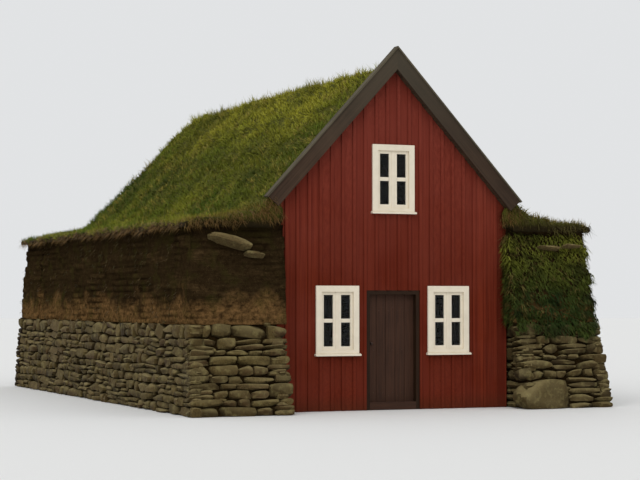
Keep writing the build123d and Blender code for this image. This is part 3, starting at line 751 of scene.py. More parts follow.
def glazing_bars():
    """A bar across each casement, before and behind its glass."""
    bars = bmesh.new()
    for place in WINDOWS:
        low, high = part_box(f"window_glass_{place}")
        sash_low, sash_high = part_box(f"window_sash_{place}")
        mullion = (sash_high.x + sash_low.x) / 2
        outer_edge = high.x - mullion
        middle_z = (low.z + high.z) / 2
        heights = (middle_z - BAR_RISE / 2, middle_z + BAR_RISE / 2)
        front, rear = (sash_low.y + BAR_SET_BACK, low.y), (high.y, sash_high.y - BAR_SET_BACK)
        for side in (-1, 1):
            ends = sorted((mullion + side * outer_edge, mullion + side * (outer_edge - PANE_WIDTH)))
            for depth in (front, rear):
                add_block(bars, ends, depth, heights)
    mesh = mesh_of("glazing_bars", bars)
    soften(finish_piece("glazing_bars", mesh, WHITE), JOINERY_EDGE)


# Door

DOOR_PLANKS = 5
NAIL_RADIUS, NAIL_HEIGHT = 0.007, 0.005
NAIL_PLACES = ((0.28, -0.025), (0.72, 0.025))  # across a plank, and above a row's middle
NAIL_ROW_INSET = 0.06  # the outer rows lie this far inside the ledges' ends


def door():
    """Planks and their nails, on the door's body."""
    x, y, z = spans("door_leaf")
    width = (x[1] - x[0]) / DOOR_PLANKS
    planks = bmesh.new()
    turn = upright(y[1]) @ Matrix.Scale(-1, 4, (0, 0, 1))
    lay_planks(planks, x, z, (y[0] - y[1], 0), width, None, turn, Random(23), 0.004, 0.0)
    bmesh.ops.recalc_face_normals(planks, faces=planks.faces)
    mesh = mesh_of("door_planks", planks)
    piece = finish_piece("door_planks", mesh, DOOR_WOOD, "door", ("door_leaf",))
    soften(piece, JOINERY_EDGE)

    nails = bmesh.new()
    low, high = spans("door_ledges")[2]
    for height in (low + NAIL_ROW_INSET, (low + high) / 2, high - NAIL_ROW_INSET):
        for plank in range(DOOR_PLANKS):
            for share, rise in NAIL_PLACES:
                place = (x[0] + (plank + share) * width, y[0] - 0.001, height + rise)
                bmesh.ops.create_cone(
                    nails,
                    cap_ends=True,
                    segments=8,
                    radius1=NAIL_RADIUS,
                    radius2=NAIL_RADIUS * 0.5,
                    depth=NAIL_HEIGHT,
                    matrix=Matrix.Translation(place) @ STANDING,
                )
    finish_piece("door_nails", mesh_of("door_nails", nails), IRON, "door", smooth=True)


# Inside

FLOOR_PLANK_WIDTH = 0.17
DECK_BOARD_WIDTH = 0.15
PLANK_LENGTH = 3.4


def floors():
    """Planks of the two floors."""
    rng = Random(31)
    for node in ("ground_floor", "loft_floor"):
        bm = bmesh.new()
        lay_planks(bm, *spans(node), FLOOR_PLANK_WIDTH, PLANK_LENGTH, Matrix.Identity(4), rng)
        piece = finish_piece(
            f"{node}_planks", mesh_of(node, bm), ROOM_WOOD_DEEP, replaced=(node,)
        )
        soften(piece, BOARD_EDGE, 1)


def roof_deck():
    """Boards of the roof deck, cut plumb at the ridge and at the wall."""
    rng = Random(37)
    across = (-0.1, HALF_GABLE / cos(ROOF_SLOPE) + 0.1)
    along = (DECK_FRONT_Y, ROOM_REAR_Y)
    thick = (-(DECK_TOP_PEAK - DECK_UNDER_PEAK) * cos(ROOF_SLOPE), 0)
    turn = Matrix.Translation((0, 0, DECK_TOP_PEAK)) @ Matrix.Rotation(ROOF_SLOPE, 4, "Y")
    for node in ("roof_deck_right", "roof_deck_left"):
        bm = bmesh.new()
        lay_planks(bm, across, along, thick, DECK_BOARD_WIDTH, PLANK_LENGTH, turn, rng, relief=0.0)
        cut_off(bm, (0, 0, 0), (-1, 0, 0))
        cut_off(bm, (HALF_GABLE, 0, 0), (1, 0, 0))
        if node == "roof_deck_left":
            bmesh.ops.scale(bm, vec=(-1, 1, 1), verts=bm.verts)
            bmesh.ops.reverse_faces(bm, faces=bm.faces)
        mesh = mesh_of(node, bm)
        finish_piece(f"{node}_boards", mesh, DECK_WOOD, replaced=(node,))


# Dry stone

STONE_SHAPES = 16
STONE_SPLITS = 9
CORE_INSET = 0.08
FOOTING_STONES = ((-0.08, 0.76, 0.46),)  # from, to and up to
FOOTING_SET = (0.03, 0.4, 0.06)  # its tilt, its depth and how far it stands out
FOOTING_TONE, FOOTING_CUTS, FOOTING_UNEVEN = 0.2, 6, 0.3
EDGE_ANGLE = radians(34)  # a stone's edges sharper than this show as edges
BARE_DEPTH, EARTH_AND_SHADE_OVER = 0.03, 0.06  # a stone darkens to earth and painted shade from this depth, fully this much deeper
COURSE_RISE = (0.09, 0.16)
COURSE_SWELL = 0.04
LONG_STONE, SHORT_STONE = (0.3, 0.6), (0.14, 0.3)
STONE_DEPTH = (0.18, 0.24)
STONE_TILT, STONE_TURN = 0.05, 0.07
SMALL_STONE, SMALL_DEPTH = (0.06, 0.12), 0.1
RUN_OUT = (0.6, 1)  # the share of its spill that a course takes
TALL_SPAN, TALL_RISE = 0.3, 0.25  # a stone wider than this fills two courses up to this high
SPLIT_SPAN, SPLIT_RISE = 0.28, 0.12  # a place wider and higher than this can hold two stones
SHORT_SHARE, TALL_SHARE, SPLIT_SHARE, SMALL_SHARE = 0.4, 0.1, 0.45, 0.2  # how many are such
JOINT_SHARE, BED_SHARE = 0.97, 0.94  # of its place that a stone fills, along and up
OUTSIDE_PROUD = (-0.02, 0.02)
INSIDE_PROUD = (-0.03, -0.008)
FRONT_LEFT, FRONT_RIGHT = (True, True), (False, True)
REAR_LEFT, REAR_RIGHT = (True, False), (False, False)
SNUG = 0.02  # the courses run past a face's end by up to this much
LAPPED = 0.075  # and past the timber front's edge by up to this much

Face = namedtuple("Face", "start along up out length height leans")


def corner(node, left, front, high):
    """The node's vertex at one of its eight corners."""
    wanted_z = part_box(node)[high].z
    places = [vertex.co for vertex in frame["nodes"][node].data.vertices]
    level = [place for place in places if abs(place.z - wanted_z) < 0.001]
    across = 1 if left else -1
    back = 1 if front else -1
    return min(level, key=lambda place: place.x * across + place.y * back).copy()


def wall_face(first, second):
    """The wall face between two corners of walls, each given as (node, left, front).

    start is its lower corner, along and up its edges' directions, and out points away from
    the wall. leans is how far its two ends lean in over a metre of height.
    """
    start, end = corner(*first, False), corner(*second, False)
    along = (end - start).normalized()
    rise = corner(*first, True) - start
    up = (rise - along * rise.dot(along)).normalized()
    height = up.dot(rise)
    leans = (rise.dot(along) / height, (end - corner(*second, True)).dot(along) / height)
    return Face(start, along, up, along.cross(up), (end - start).length, height, leans)


def place_in(face, x, z, size, stand, turn):
    """The matrix that sets a unit cube in a wall face, x along it and z up it.

    size is its span, depth and rise, and stand how far it stands out.
    """
    span, deep, rise = size
    middle = face.start + face.along * x + face.up * z + face.out * (stand - deep / 2)
    axes = Matrix((face.along, -face.out, face.up)).transposed().to_4x4()
    return Matrix.Translation(middle) @ axes @ turn @ Matrix.Diagonal((span, deep, rise, 1))


def stone_shape(rng, cuts, uneven=1.0):
    """A flat field stone that fills a unit cube: a block with split faces and worn edges."""
    bm = bmesh.new()
    bmesh.ops.create_cube(bm, size=1)
    bmesh.ops.subdivide_edges(bm, edges=bm.edges, cuts=cuts, use_grid_fill=True)
    squareness = rng.uniform(8.0, 18.0)
    splits = []
    for _ in range(STONE_SPLITS):
        facing = Vector([rng.gauss(0, 1) for _ in range(3)]).normalized()
        splits.append((facing, rng.uniform(0.44, 0.62)))
    offset = Vector([rng.uniform(-50, 50) for _ in range(3)])
    wedge = rng.uniform(-0.4, 0.4) * uneven
    point = rng.uniform(0.0, 0.25) * uneven
    skew = rng.uniform(-0.2, 0.2) * uneven
    for vert in bm.verts:
        place = vert.co
        place *= sum(abs(2 * part) ** squareness for part in place) ** (-1 / squareness)
        for facing, reach in splits:
            place -= facing * max(0.0, place.dot(facing) - reach) * 0.9
        place *= 1 + 0.08 * noise.noise(place * 1.9 + offset)
        place += 0.04 * noise.noise_vector(place * 3.7 + offset)
        place.z *= (1 + wedge * place.x) * (1 - point * (2 * place.x) ** 4)
        place.z += skew * place.x
        vert.co = place
    return mesh_of("stone_shape", bm)


def course_levels(height, rng):
    """Heights at which the courses of one face lie on each other."""
    levels = [0.0]
    while height - levels[-1] > COURSE_RISE[0]:
        rise = rng.uniform(*COURSE_RISE)
        left = height - levels[-1] - rise
        levels.append(height if left < COURSE_RISE[0] else levels[-1] + rise)
    return levels


def stone_places(face, proud, spill, rng, footings):
    """Places of the stones of one wall face: (matrix, tone) in courses that swell and pinch.

    proud is how far the stones stand out of the face, and spill how far the courses run past
    its ends. footings are large stones at the foot, each from one place along the face to
    another, and up to a height. Their places come first.
    """
    places = []
    levels = course_levels(face.height, rng)
    phase = rng.uniform(0, 40)

    def level_at(course, x):
        if course == 0:
            return 0.0
        swell = COURSE_SWELL * noise.noise(Vector((x * 1.2, course * 5.3, phase)))
        return levels[course] + (swell if course < len(levels) - 1 else abs(swell))

    def place_stone(x, z, span, rise, tilt, deep, stand):
        twist = Matrix.Rotation(rng.uniform(-STONE_TURN, STONE_TURN), 4, "Z")
        turn = Matrix.Rotation(tilt, 4, "Y") @ twist
        places.append((place_in(face, x, z, (span, deep, rise), stand, turn), rng.random()))

    for begin, end, top in footings:
        place_stone((begin + end) / 2, top / 2 - 0.02, end - begin, top + 0.04, *FOOTING_SET)
    taken = []
    for course in range(len(levels) - 1):
        filled, taken = taken, []
        filled += [(begin, end) for begin, end, top in footings if levels[course] < top - 0.05]
        level = (levels[course] + levels[course + 1]) / 2
        x = face.leans[0] * level - spill[0] * rng.uniform(*RUN_OUT)
        course_start = x
        last = face.length - face.leans[1] * level + spill[1] * rng.uniform(*RUN_OUT)
        while x < last - 0.02:
            inside = [end for begin, end in filled if begin - 0.06 <= x < end]
            if inside:
                x = inside[0]
                continue
            span = rng.uniform(*(SHORT_STONE if rng.random() < SHORT_SHARE else LONG_STONE))
            ahead = [begin for begin, _ in filled if begin > x]
            limit = min([*ahead, last])
            if limit - x - span < SHORT_STONE[0]:
                span = limit - x
            upper = course + 1
            two_courses = levels[min(course + 2, len(levels) - 1)] - levels[course]
            fits = span > TALL_SPAN and two_courses < TALL_RISE
            is_tall = rng.random() < TALL_SHARE and fits
            if is_tall and course + 2 < len(levels) and not ahead:
                upper = course + 2
                taken.append((x, x + span))
            low = (level_at(course, x) + level_at(course, x + span)) / 2
            high = (level_at(upper, x) + level_at(upper, x + span)) / 2
            lean = level_at(course, x + span) - level_at(course, x)
            tilt = -lean / span + rng.uniform(-STONE_TILT, STONE_TILT)
            layers = [(low, high)]
            can_split = high - low > SPLIT_RISE and span > SPLIT_SPAN and upper == course + 1
            if can_split and rng.random() < SPLIT_SHARE:
                split = low + (high - low) * rng.uniform(0.4, 0.6)
                layers = [(low, split), (split, high)]
            for bottom, top in layers:
                deep, stand = rng.uniform(*STONE_DEPTH), rng.uniform(*proud)
                wide, tall = span * JOINT_SHARE, (top - bottom) * BED_SHARE
                place_stone(x + span / 2, (bottom + top) / 2, wide, tall, tilt, deep, stand)
            if rng.random() < SMALL_SHARE:
                small = rng.uniform(*SMALL_STONE)
                spot = max(x, course_start + small / 2)
                stand = proud[0] - 0.01
                place_stone(spot, high, small, small / 2, 0.0, SMALL_DEPTH, stand)
            x += span
    return places


def inset_core(node, inset):
    """The node's own block, merged, with its upright faces moved in."""
    bm = bmesh.new()
    bm.from_mesh(frame["nodes"][node].data)
    bmesh.ops.remove_doubles(bm, verts=bm.verts, dist=WELD_DISTANCE)
    bmesh.ops.dissolve_limit(bm, angle_limit=radians(1), verts=bm.verts, edges=bm.edges)
    low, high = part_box(node)
    middle = (low + high) / 2
    for vert in bm.verts:
        vert.co.x += inset if vert.co.x < middle.x else -inset
        vert.co.y += inset if vert.co.y < middle.y else -inset
    return bm


def finish_stones(name, bm):
    piece = finish_piece(name, mesh_of(name, bm), STONE, smooth=True)
    piece.data.set_sharp_from_angle(angle=EDGE_ANGLE)


def stone_wall(node, faces, seed, shade=1.0, footings=()):
    """One wall's stones, course by course, on a core of dark earth.

    faces are (first corner, second corner, how proud, cuts of a stone's faces, how far the
    courses run past its ends), the front first, and shade is how pale its stones get, low on
    the right wall as painted shade.
    """
    rng = Random(seed)
    shapes = {}
    for cuts in sorted({face[3] for face in faces}):
        shapes[cuts] = [stone_shape(rng, cuts) for _ in range(STONE_SHAPES)]
    bm = bmesh.new()
    vertex_values(bm, "tone")
    earth = vertex_values(bm, "earth")
    planes = []
    for first, second, proud, cuts, spill in faces:
        face = wall_face(first, second)
        planes.append((face.start, face.out))
        for index, (matrix, tone) in enumerate(stone_places(face, proud, spill, rng, footings)):
            if index < len(footings):
                footing = stone_shape(rng, FOOTING_CUTS, FOOTING_UNEVEN)
                add_copy(bm, footing, matrix, FOOTING_TONE)
                bpy.data.meshes.remove(footing)
            else:
                add_copy(bm, rng.choice(shapes[cuts]), matrix, tone * shade)
        footings = ()
    for vert in bm.verts:
        vert.co.z = max(vert.co.z, 0.0)
        # how deep in the joints a vertex lies, shown in the stone's colour as earth and painted
        # shade
        depth = min((start - vert.co).dot(out) for start, out in planes)
        vert[earth] = clamped((depth - BARE_DEPTH) / EARTH_AND_SHADE_OVER)
    finish_stones(f"{node}s", bm)
    core = mesh_of(node, inset_core(node, CORE_INSET))
    finish_piece(f"{node}_core", core, PACKED_EARTH, replaced=(node,))
    for shape in sum(shapes.values(), []):
        bpy.data.meshes.remove(shape)


def stone_walls():
    """Each face runs between two corners, with the outside on its right hand.

    The side walls' outer faces run on over the rear wall's ends, so their courses are bonded.
    """
    left, right, rear = "left_wall_stone", "right_wall_stone", "rear_wall_stone"
    outside = (OUTSIDE_PROUD, 2, (SNUG, SNUG))
    inside = (INSIDE_PROUD, 1, (SNUG, SNUG))
    left_faces = [
        ((left, *FRONT_LEFT), (left, *FRONT_RIGHT), OUTSIDE_PROUD, 3, (SNUG, LAPPED)),
        ((rear, *REAR_LEFT), (left, *FRONT_LEFT), *outside),
        ((left, *FRONT_RIGHT), (left, *REAR_RIGHT), *inside),
    ]
    right_faces = [
        ((right, *FRONT_LEFT), (right, *FRONT_RIGHT), OUTSIDE_PROUD, 3, (LAPPED, SNUG)),
        ((right, *FRONT_RIGHT), (rear, *REAR_RIGHT), *outside),
        ((right, *REAR_LEFT), (right, *FRONT_LEFT), *inside),
    ]
    rear_faces = [
        ((rear, *REAR_RIGHT), (rear, *REAR_LEFT), *outside),
        ((left, *REAR_RIGHT), (right, *REAR_LEFT), *inside),
    ]
    stone_wall(left, left_faces, 41)
    # the right wall's stones are darker, as painted shade
    stone_wall(right, right_faces, 43, 0.35, FOOTING_STONES)
    stone_wall(rear, rear_faces, 47)


# Each slab's place along and up the wall's front, its span, thickness and tilt, and its stand
SLABS = {
    "left_wall_turf": ((0.36, 1.22, 0.66, 0.1, 0.26, 0.15), (0.92, 1.02, 0.3, 0.07, 0.1, 0.07)),
    "right_wall_turf": ((0.5, 1.17, 0.36, 0.06, 0.1, 0.1), (0.92, 1.19, 0.3, 0.06, -0.06, 0.1)),
}
SLAB_DEPTH = 0.42
SLAB_DIP = Matrix.Rotation(radians(-9), 4, "X")
SLAB_TONE = 0.95


def bedded_slabs():
    """Flat stones that stick out of the stacked turf beside the timber front."""
    rng = Random(59)
    for node, slabs in SLABS.items():
        face = wall_face((node, *FRONT_LEFT), (node, *FRONT_RIGHT))
        bm = bmesh.new()
        for run, rise, span, thick, tilt, stand in slabs:
            turn = Matrix.Rotation(tilt, 4, "Y") @ SLAB_DIP
            shape = stone_shape(rng, 4)
            size = (span, SLAB_DEPTH, thick)
            add_copy(bm, shape, place_in(face, run + span / 2, rise, size, stand, turn), SLAB_TONE)
            bpy.data.meshes.remove(shape)
        finish_stones(f"{node}_slabs", bm)


# Grass

TUFTS = {  # tufts, blades of each, length, width and reach of a blade, radius and drop
    "short": (8, 10, (0.05, 0.12), (0.006, 0.011), (0.25, 0.9), 0.05, 0.0),
    "tall": (6, 9, (0.09, 0.2), (0.006, 0.01), (0.15, 0.6), 0.035, 0.0),
    "hanging": (6, 8, (0.04, 0.09), (0.007, 0.012), (1.0, 2.0), 0.05, 0.11),
    "sparse": (5, 6, (0.03, 0.07), (0.006, 0.01), (0.8, 1.6), 0.04, 0.07),
    "leafy": (6, 7, (0.05, 0.1), (0.016, 0.032), (0.7, 1.5), 0.06, 0.1),
}


def add_blade(bm, length, width, reach, heading, foot, drop):
    """A grass blade of one quad and a tip, bent over the way it heads."""
    rise = vertex_values(bm, "rise")
    verts = bmesh.ops.create_grid(bm, x_segments=1, y_segments=2, size=0.5)["verts"]
    direction = Vector((cos(heading), sin(heading), 0))
    side = Vector((-sin(heading), cos(heading), 0))
    for vert in verts:
        share = vert.co.y + 0.5
        half = vert.co.x * width * (1.0 if share < 0.25 else 0.75)
        up = length * share * (1 - 0.35 * share * reach) - drop * share * share
        vert.co = foot + direction * (reach * length * share * share) + side * half
        vert.co.z += up
        vert[rise] = share
    tip = [vert for vert in verts if vert[rise] > 0.9]
    bmesh.ops.pointmerge(bm, verts=tip, merge_co=(tip[0].co + tip[1].co) / 2)


def tuft_shapes(name, rng, count, blades, length, width, reach, radius, drop):
    """A collection of tufts of different blades, to scatter. With a drop they hang."""
    tufts = bpy.data.collections.new(name)
    bpy.context.scene.collection.children.link(tufts)
    for index in range(count):
        bm = bmesh.new()
        for _ in range(blades):
            heading = rng.uniform(-0.9, 0.9) if drop else rng.uniform(0, 2 * pi)
            spot = radius * rng.random() ** 0.5
            angle = rng.uniform(0, 2 * pi)
            foot = Vector((spot * cos(angle), spot * sin(angle), -0.008))
            if drop:
                foot = Vector((-0.01, spot * cos(angle), spot * sin(angle)))
            sizes = [rng.uniform(*limits) for limits in (length, width, reach)]
            add_blade(bm, *sizes, heading, foot, drop * rng.uniform(0.6, 1.2))
        mesh = mesh_of(f"{name}_{index}", bm)
        tufts.objects.link(bpy.data.objects.new(mesh.name, mesh))
    return tufts


def clear_shapes(shapes):
    """Removes the tufts that were only there to be scattered."""
    for tufts in shapes.values():
        for shape in list(tufts.objects):
            remove_object(shape)
        bpy.data.collections.remove(tufts)


def random_number(tree, low, high, seed):
    """A number of its own for each tuft."""
    return add_node(tree, "FunctionNodeRandomValue", {2: low, 3: high, "Seed": seed}).outputs[1]


def random_turn(tree, low, high, seed):
    """A vector of its own for each tuft."""
    inputs = {0: low, 1: high, "Seed": seed}
    return add_node(tree, "FunctionNodeRandomValue", inputs, data_type="FLOAT_VECTOR").outputs[0]


def scatter_tree(tufts, density, seed, hanging):
    """Geometry nodes that plant tufts over a bed and make them one mesh."""
    tree = bpy.data.node_groups.new(f"plant_{tufts.name}", "GeometryNodeTree")
    for way in ("INPUT", "OUTPUT"):
        tree.interface.new_socket("Geometry", in_out=way, socket_type="NodeSocketGeometry")
    bed = tree.nodes.new("NodeGroupInput").outputs[0]
    inputs = {"Mesh": bed, "Density": density, "Seed": seed}
    points = add_node(tree, "GeometryNodeDistributePointsOnFaces", inputs).outputs
    inputs = {"Collection": tufts, "Separate Children": True, "Reset Children": True}
    shapes = add_node(tree, "GeometryNodeCollectionInfo", inputs).outputs[0]
    wobble = random_turn(tree, (-0.35, -0.35, -0.2), (0.35, 0.35, 0.2), seed + 1)
    level = (1.0, 1.0, 0.0) if hanging else (0.55, 0.55, 1.0)
    inputs = {0: points["Normal"], 1: level, 2: wobble}
    lean = add_node(tree, "ShaderNodeVectorMath", inputs, operation="MULTIPLY_ADD").outputs[0]
    aim = add_node(tree, "FunctionNodeAlignRotationToVector", {"Vector": lean})
    aim.axis = "X" if hanging else "Z"
    aim.pivot_axis = "Z" if hanging else "AUTO"
    rotation = aim.outputs[0]
    if not hanging:
        spin = random_turn(tree, (0, 0, 0), (0, 0, 2 * pi), seed + 2)
        inputs = {0: rotation, 1: spin}
        turned = add_node(tree, "FunctionNodeRotateRotation", inputs, rotation_space="LOCAL")
        rotation = turned.outputs[0]
    inputs = {
        "Points": points["Points"],
        "Instance": shapes,
        "Pick Instance": True,
        "Rotation": rotation,
        "Scale": random_number(tree, 0.7, 1.3, seed + 3),
    }
    planted = add_node(tree, "GeometryNodeInstanceOnPoints", inputs).outputs[0]
    tone = random_number(tree, 0.0, 1.0, seed + 4)
    inputs = {"Geometry": planted, "Name": "tone", "Value": tone}
    kind = {"data_type": "FLOAT", "domain": "INSTANCE"}
    toned = add_node(tree, "GeometryNodeStoreNamedAttribute", inputs, **kind).outputs[0]
    real = add_node(tree, "GeometryNodeRealizeInstances", {"Geometry": toned}).outputs[0]
    tree.links.new(real, tree.nodes.new("NodeGroupOutput").inputs[0])
    return tree


def plant(name, ground, grows, tufts, density, seed, material, slot, hanging=False):
    """Plants tufts on the faces of the ground where grows(place, normal) holds, as one piece."""
    bed_bm = ground.copy()
    bare = [face for face in bed_bm.faces if not grows(face.calc_center_median(), face.normal)]
    bmesh.ops.delete(bed_bm, geom=bare, context="FACES")
    bed = add_object("bed", mesh_of("bed", bed_bm))
    grower = bed.modifiers.new("grow", "NODES")
    grower.node_group = scatter_tree(tufts, density, seed, hanging)
    mesh = evaluated_mesh(bed)
    remove_object(bed)
    finish_piece(name, mesh, material, smooth=True)


# Stacked turf

STRIP_RISE, STRIP_LENGTH = 0.1, 0.75
TURF_CELL = (0.06, 0.025)
GROOVE_DEPTH = 0.03
END_GAP = 0.03
EAVES_HOLLOW = 0.03
FACE_SINK = 0.02
NEAR = 0.02  # a vertex this close to a plane of the house belongs to it
CRUMBLING_RISE, CRUMBLING_DEPTH = 0.35, 0.03  # the turf crumbles just above the stones
TURF_LAP = 0.04  # the stacked turf runs up into the roof's turf by this much
FRONT_BULGE = (0.06, 0.12)  # over the timber front's edges, at the turf's foot and its top
BONDED = 0.1  # a side wall's strips run this far into the rear wall
WALL_TUFT_DENSITY, GROWTH_DENSITY = 14.0, 420.0
GROWTH_REACH = 0.25  # the growth reaches back round the corner about this far
TRAIL_DROP = (0.06, 0.26)  # how far the growth hangs over the stones below it


def dice(bm, direction, size):
    """Cuts the block's faces across one direction into strips of about the given size."""

    def runs_along(edge):
        way = (edge.verts[1].co - edge.verts[0].co).normalized()
        return abs(way.dot(direction)) > 0.9

    edges = [edge for edge in bm.edges if runs_along(edge)]
    longest = max(edge.calc_length() for edge in edges)
    cuts = max(1, ceil(longest / size)) - 1
    bmesh.ops.subdivide_edges(bm, edges=edges, cuts=cuts, use_grid_fill=True)


def turf_face(place, run, seed):
    """How far the stacked turf stands out at a place on its face, its groove and its tone.

    run is the way along the face. The strips lie in level courses and sag, each strip with a
    stand and a colour of its own, and the soil between them is worn away.
    """
    wander = 0.45 * noise.noise(Vector((run * 0.8, place.z * 0.7, seed)))
    row = place.z / STRIP_RISE + wander
    course = floor(row)
    rim = 1 - abs(2 * (row - course) - 1)
    shift = noise.cell(Vector((course * 3.7, seed, 0.5))) * 3
    spot = run / STRIP_LENGTH + shift + 0.12 * noise.noise(place * 3.1)
    strip = floor(spot)
    from_end = min(spot - strip, strip + 1 - spot) * STRIP_LENGTH
    own = noise.cell(Vector((course * 1.9, strip * 2.3, seed)))
    groove = max(0.0, 1 - rim * 3.2) ** 1.5
    gap = max(0.0, 1 - from_end / END_GAP)
    kept = min(1.0, max(0.25, 0.65 + 1.5 * noise.noise(place * 1.3)))
    worn = max(groove, gap) * kept
    lumps = 0.04 * noise.noise(place * 1.6) + 0.022 * noise.noise(place * 4.5)
    crumbs = 0.012 * noise.noise(place * 17) + 0.005 * noise.noise(place * 41)
    stand = 0.035 * (own - 0.6) * kept - GROOVE_DEPTH * worn + lumps + crumbs
    return stand, worn, own


def turf_wall(node, seed, shapes):
    """Strips of turf in level courses, bulging, slumped and worn hollow, on one wall."""
    bm = inset_core(node, 0.0)
    width, rise = TURF_CELL
    for direction, size in (((1, 0, 0), width), ((0, 1, 0), width), ((0, 0, 1), rise)):
        dice(bm, Vector(direction), size)
    bm.normal_update()
    earth, tone = vertex_values(bm, "earth"), vertex_values(bm, "tone")
    low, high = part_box(node)
    pushes = {}
    for vert in bm.verts:
        normal = Vector((vert.normal.x, vert.normal.y, 0))
        place = vert.co
        inner_side = abs(abs(place.x) - HALF_GABLE) < NEAR
        at_top = place.z > high.z - 0.01
        if normal.length < 0.3 or at_top and not (inner_side and place.y < FACE_Y):
            if at_top:
                pushes[vert] = Vector((0, 0, TURF_LAP))
            continue
        normal.normalize()
        sideways = abs(normal.x) > abs(normal.y)
        stand, worn, own = turf_face(place, place.y if sideways else place.x, seed)
        crumbling = max(0.0, 1 - (place.z - STONE_TOP) / CRUMBLING_RISE)
        stand += crumbling * CRUMBLING_DEPTH * noise.noise(place * 9)
        stand -= FACE_SINK
        if place.y < low.y + 1.2 and normal.y < -0.5:
            stand -= EAVES_HOLLOW * clamped((place.z - (WALL_TOP - 0.5)) / 0.3)
        ahead = FACE_Y - NEAR - place.y
        room_rear = abs(place.y - ROOM_REAR_Y) < NEAR and abs(place.x) < HALF_GABLE
        if inner_side and ahead > 0:
            share = (place.z - STONE_TOP) / (WALL_TOP - STONE_TOP)
            bulge = FRONT_BULGE[0] + (FRONT_BULGE[1] - FRONT_BULGE[0]) * share
            stand = stand * 0.3 + bulge * min(1.0, ahead / 0.08)
        elif inner_side or room_rear:
            stand = min(0.0, stand * 0.5) - 0.012
        pushes[vert] = normal * stand + Vector((0, 0, TURF_LAP * at_top))
        if node != "rear_wall_turf" and abs(place.y - ROOM_REAR_Y) < 0.001:
            pushes[vert].y = BONDED
        # the grooves' value, which the turf's colour darkens as painted shade
        vert[earth] = worn
        vert[tone] = own
    for vert, push in pushes.items():
        vert.co += push
    bm.normal_update()

    def open_face(place, normal):
        indoors = abs(place.x) < HALF_GABLE + 0.03 and FACE_Y < place.y < ROOM_REAR_Y + 0.03
        return abs(normal.z) < 0.7 and place.z < high.z - 0.05 and not indoors

    def side_face(place, normal):
        return open_face(place, normal) and place.y > FACE_Y + 0.3

    def front_face(place, normal):
        ragged = GROWTH_REACH + noise.noise(Vector((place.z * 2.2, 3.1, 0.0)))
        return open_face(place, normal) and place.y < FACE_Y + max(0.0, ragged)

    tufts = (shapes["sparse"], WALL_TUFT_DENSITY, 31, WALL_GRASS, "wall_turf", True)
    plant(f"{node}_tufts", bm, side_face, *tufts)
    if node == "right_wall_turf":
        leaves = (shapes["leafy"], GROWTH_DENSITY, 33, OVERGROWTH, "wall_turf", True)
        plant(f"{node}_growth", bm, front_face, *leaves)
    name = f"{node}_strips"
    mesh = mesh_of(name, bm)
    finish_piece(name, mesh, TURF_EARTH, replaced=(node,), smooth=True)


def trailing_growth(shapes):
    """The growth on the right wall's turf that hangs over its stones in front."""
    node = "right_wall_stone"
    face = wall_face((node, *FRONT_LEFT), (node, *FRONT_RIGHT))
    length = face.length - face.leans[1] * face.height - 0.06
    rise = face.height - TRAIL_DROP[1] / 2
    middle = face.start + (face.along * length / 2 + face.up * rise + face.out * 0.03)
    axes = Matrix((face.along, face.up, face.out)).transposed().to_4x4()
    matrix = Matrix.Translation(middle) @ axes @ Matrix.Diagonal((length, TRAIL_DROP[1], 1, 1))
    bed = bmesh.new()
    bmesh.ops.create_grid(bed, x_segments=28, y_segments=6, size=0.5, matrix=matrix)
    bed.normal_update()

    def hangs(place, _):
        ragged = 0.5 + noise.noise(Vector((place.x * 2.6, 0.0, 4.7)))
        return place.z > STONE_TOP - TRAIL_DROP[0] - (TRAIL_DROP[1] - TRAIL_DROP[0]) * ragged

    leaves = (shapes["leafy"], GROWTH_DENSITY, 39, OVERGROWTH, "wall_turf", True)
    plant("right_wall_growth", bed, hangs, *leaves)
    bed.free()


# Turf roof

TURF_NODES = {"roof_turf_right": -0.05, "roof_turf_left": 0.05, "rear_gable_turf": 0.0}
SEAM_OVERLAP = 0.06
TURF_VOXEL = 0.08
SKIN_DEPTH = 0.07  # the grass stands on ground this far inside the turf's own form
RIDGE_SINK = 0.03
CAP_CLEARANCE = 0.02
CORNER_LAP = 0.11  # below the bargeboards' ends the turf laps over the timber front
FRINGE_FOOT = 0.15  # beside the timber front the grass hangs from this far above the turf's foot
BEND_X = 2.3
RIDGE_RISE = 0.2  # the long grass of the ridge grows down to this far below its top
EDGE_WIDTH = 0.15  # grass hangs from this width of the turf's edges
GRASS_DENSITY, FRINGE_DENSITY, RIDGE_DENSITY = 175.0, 400.0, 40.0


def turf_form():
    """The turf over the slopes and the rear gable as one even mesh, without its lumps."""
    form = bmesh.new()
    for node, overlap in TURF_NODES.items():
        part = bmesh.new()
        part.from_mesh(frame["nodes"][node].data)
        bmesh.ops.remove_doubles(part, verts=part.verts, dist=WELD_DISTANCE)
        for vert in part.verts:
            if abs(vert.co.x) < 0.0005:
                vert.co.x += overlap
            if overlap and abs(vert.co.y - ROOM_REAR_Y) < 0.0005:
                vert.co.y += SEAM_OVERLAP
        mesh = mesh_of("turf_part", part)
        form.from_mesh(mesh)
        bpy.data.meshes.remove(mesh)
    skin = add_object("turf_form", mesh_of("turf_form", form))
    remesh = skin.modifiers.new("even", "REMESH")
    remesh.mode = "VOXEL"
    remesh.voxel_size = TURF_VOXEL
    mesh = evaluated_mesh(skin)
    remove_object(skin)
    form = bmesh.new()
    form.from_mesh(mesh)
    bpy.data.meshes.remove(mesh)
    form.normal_update()
    return form


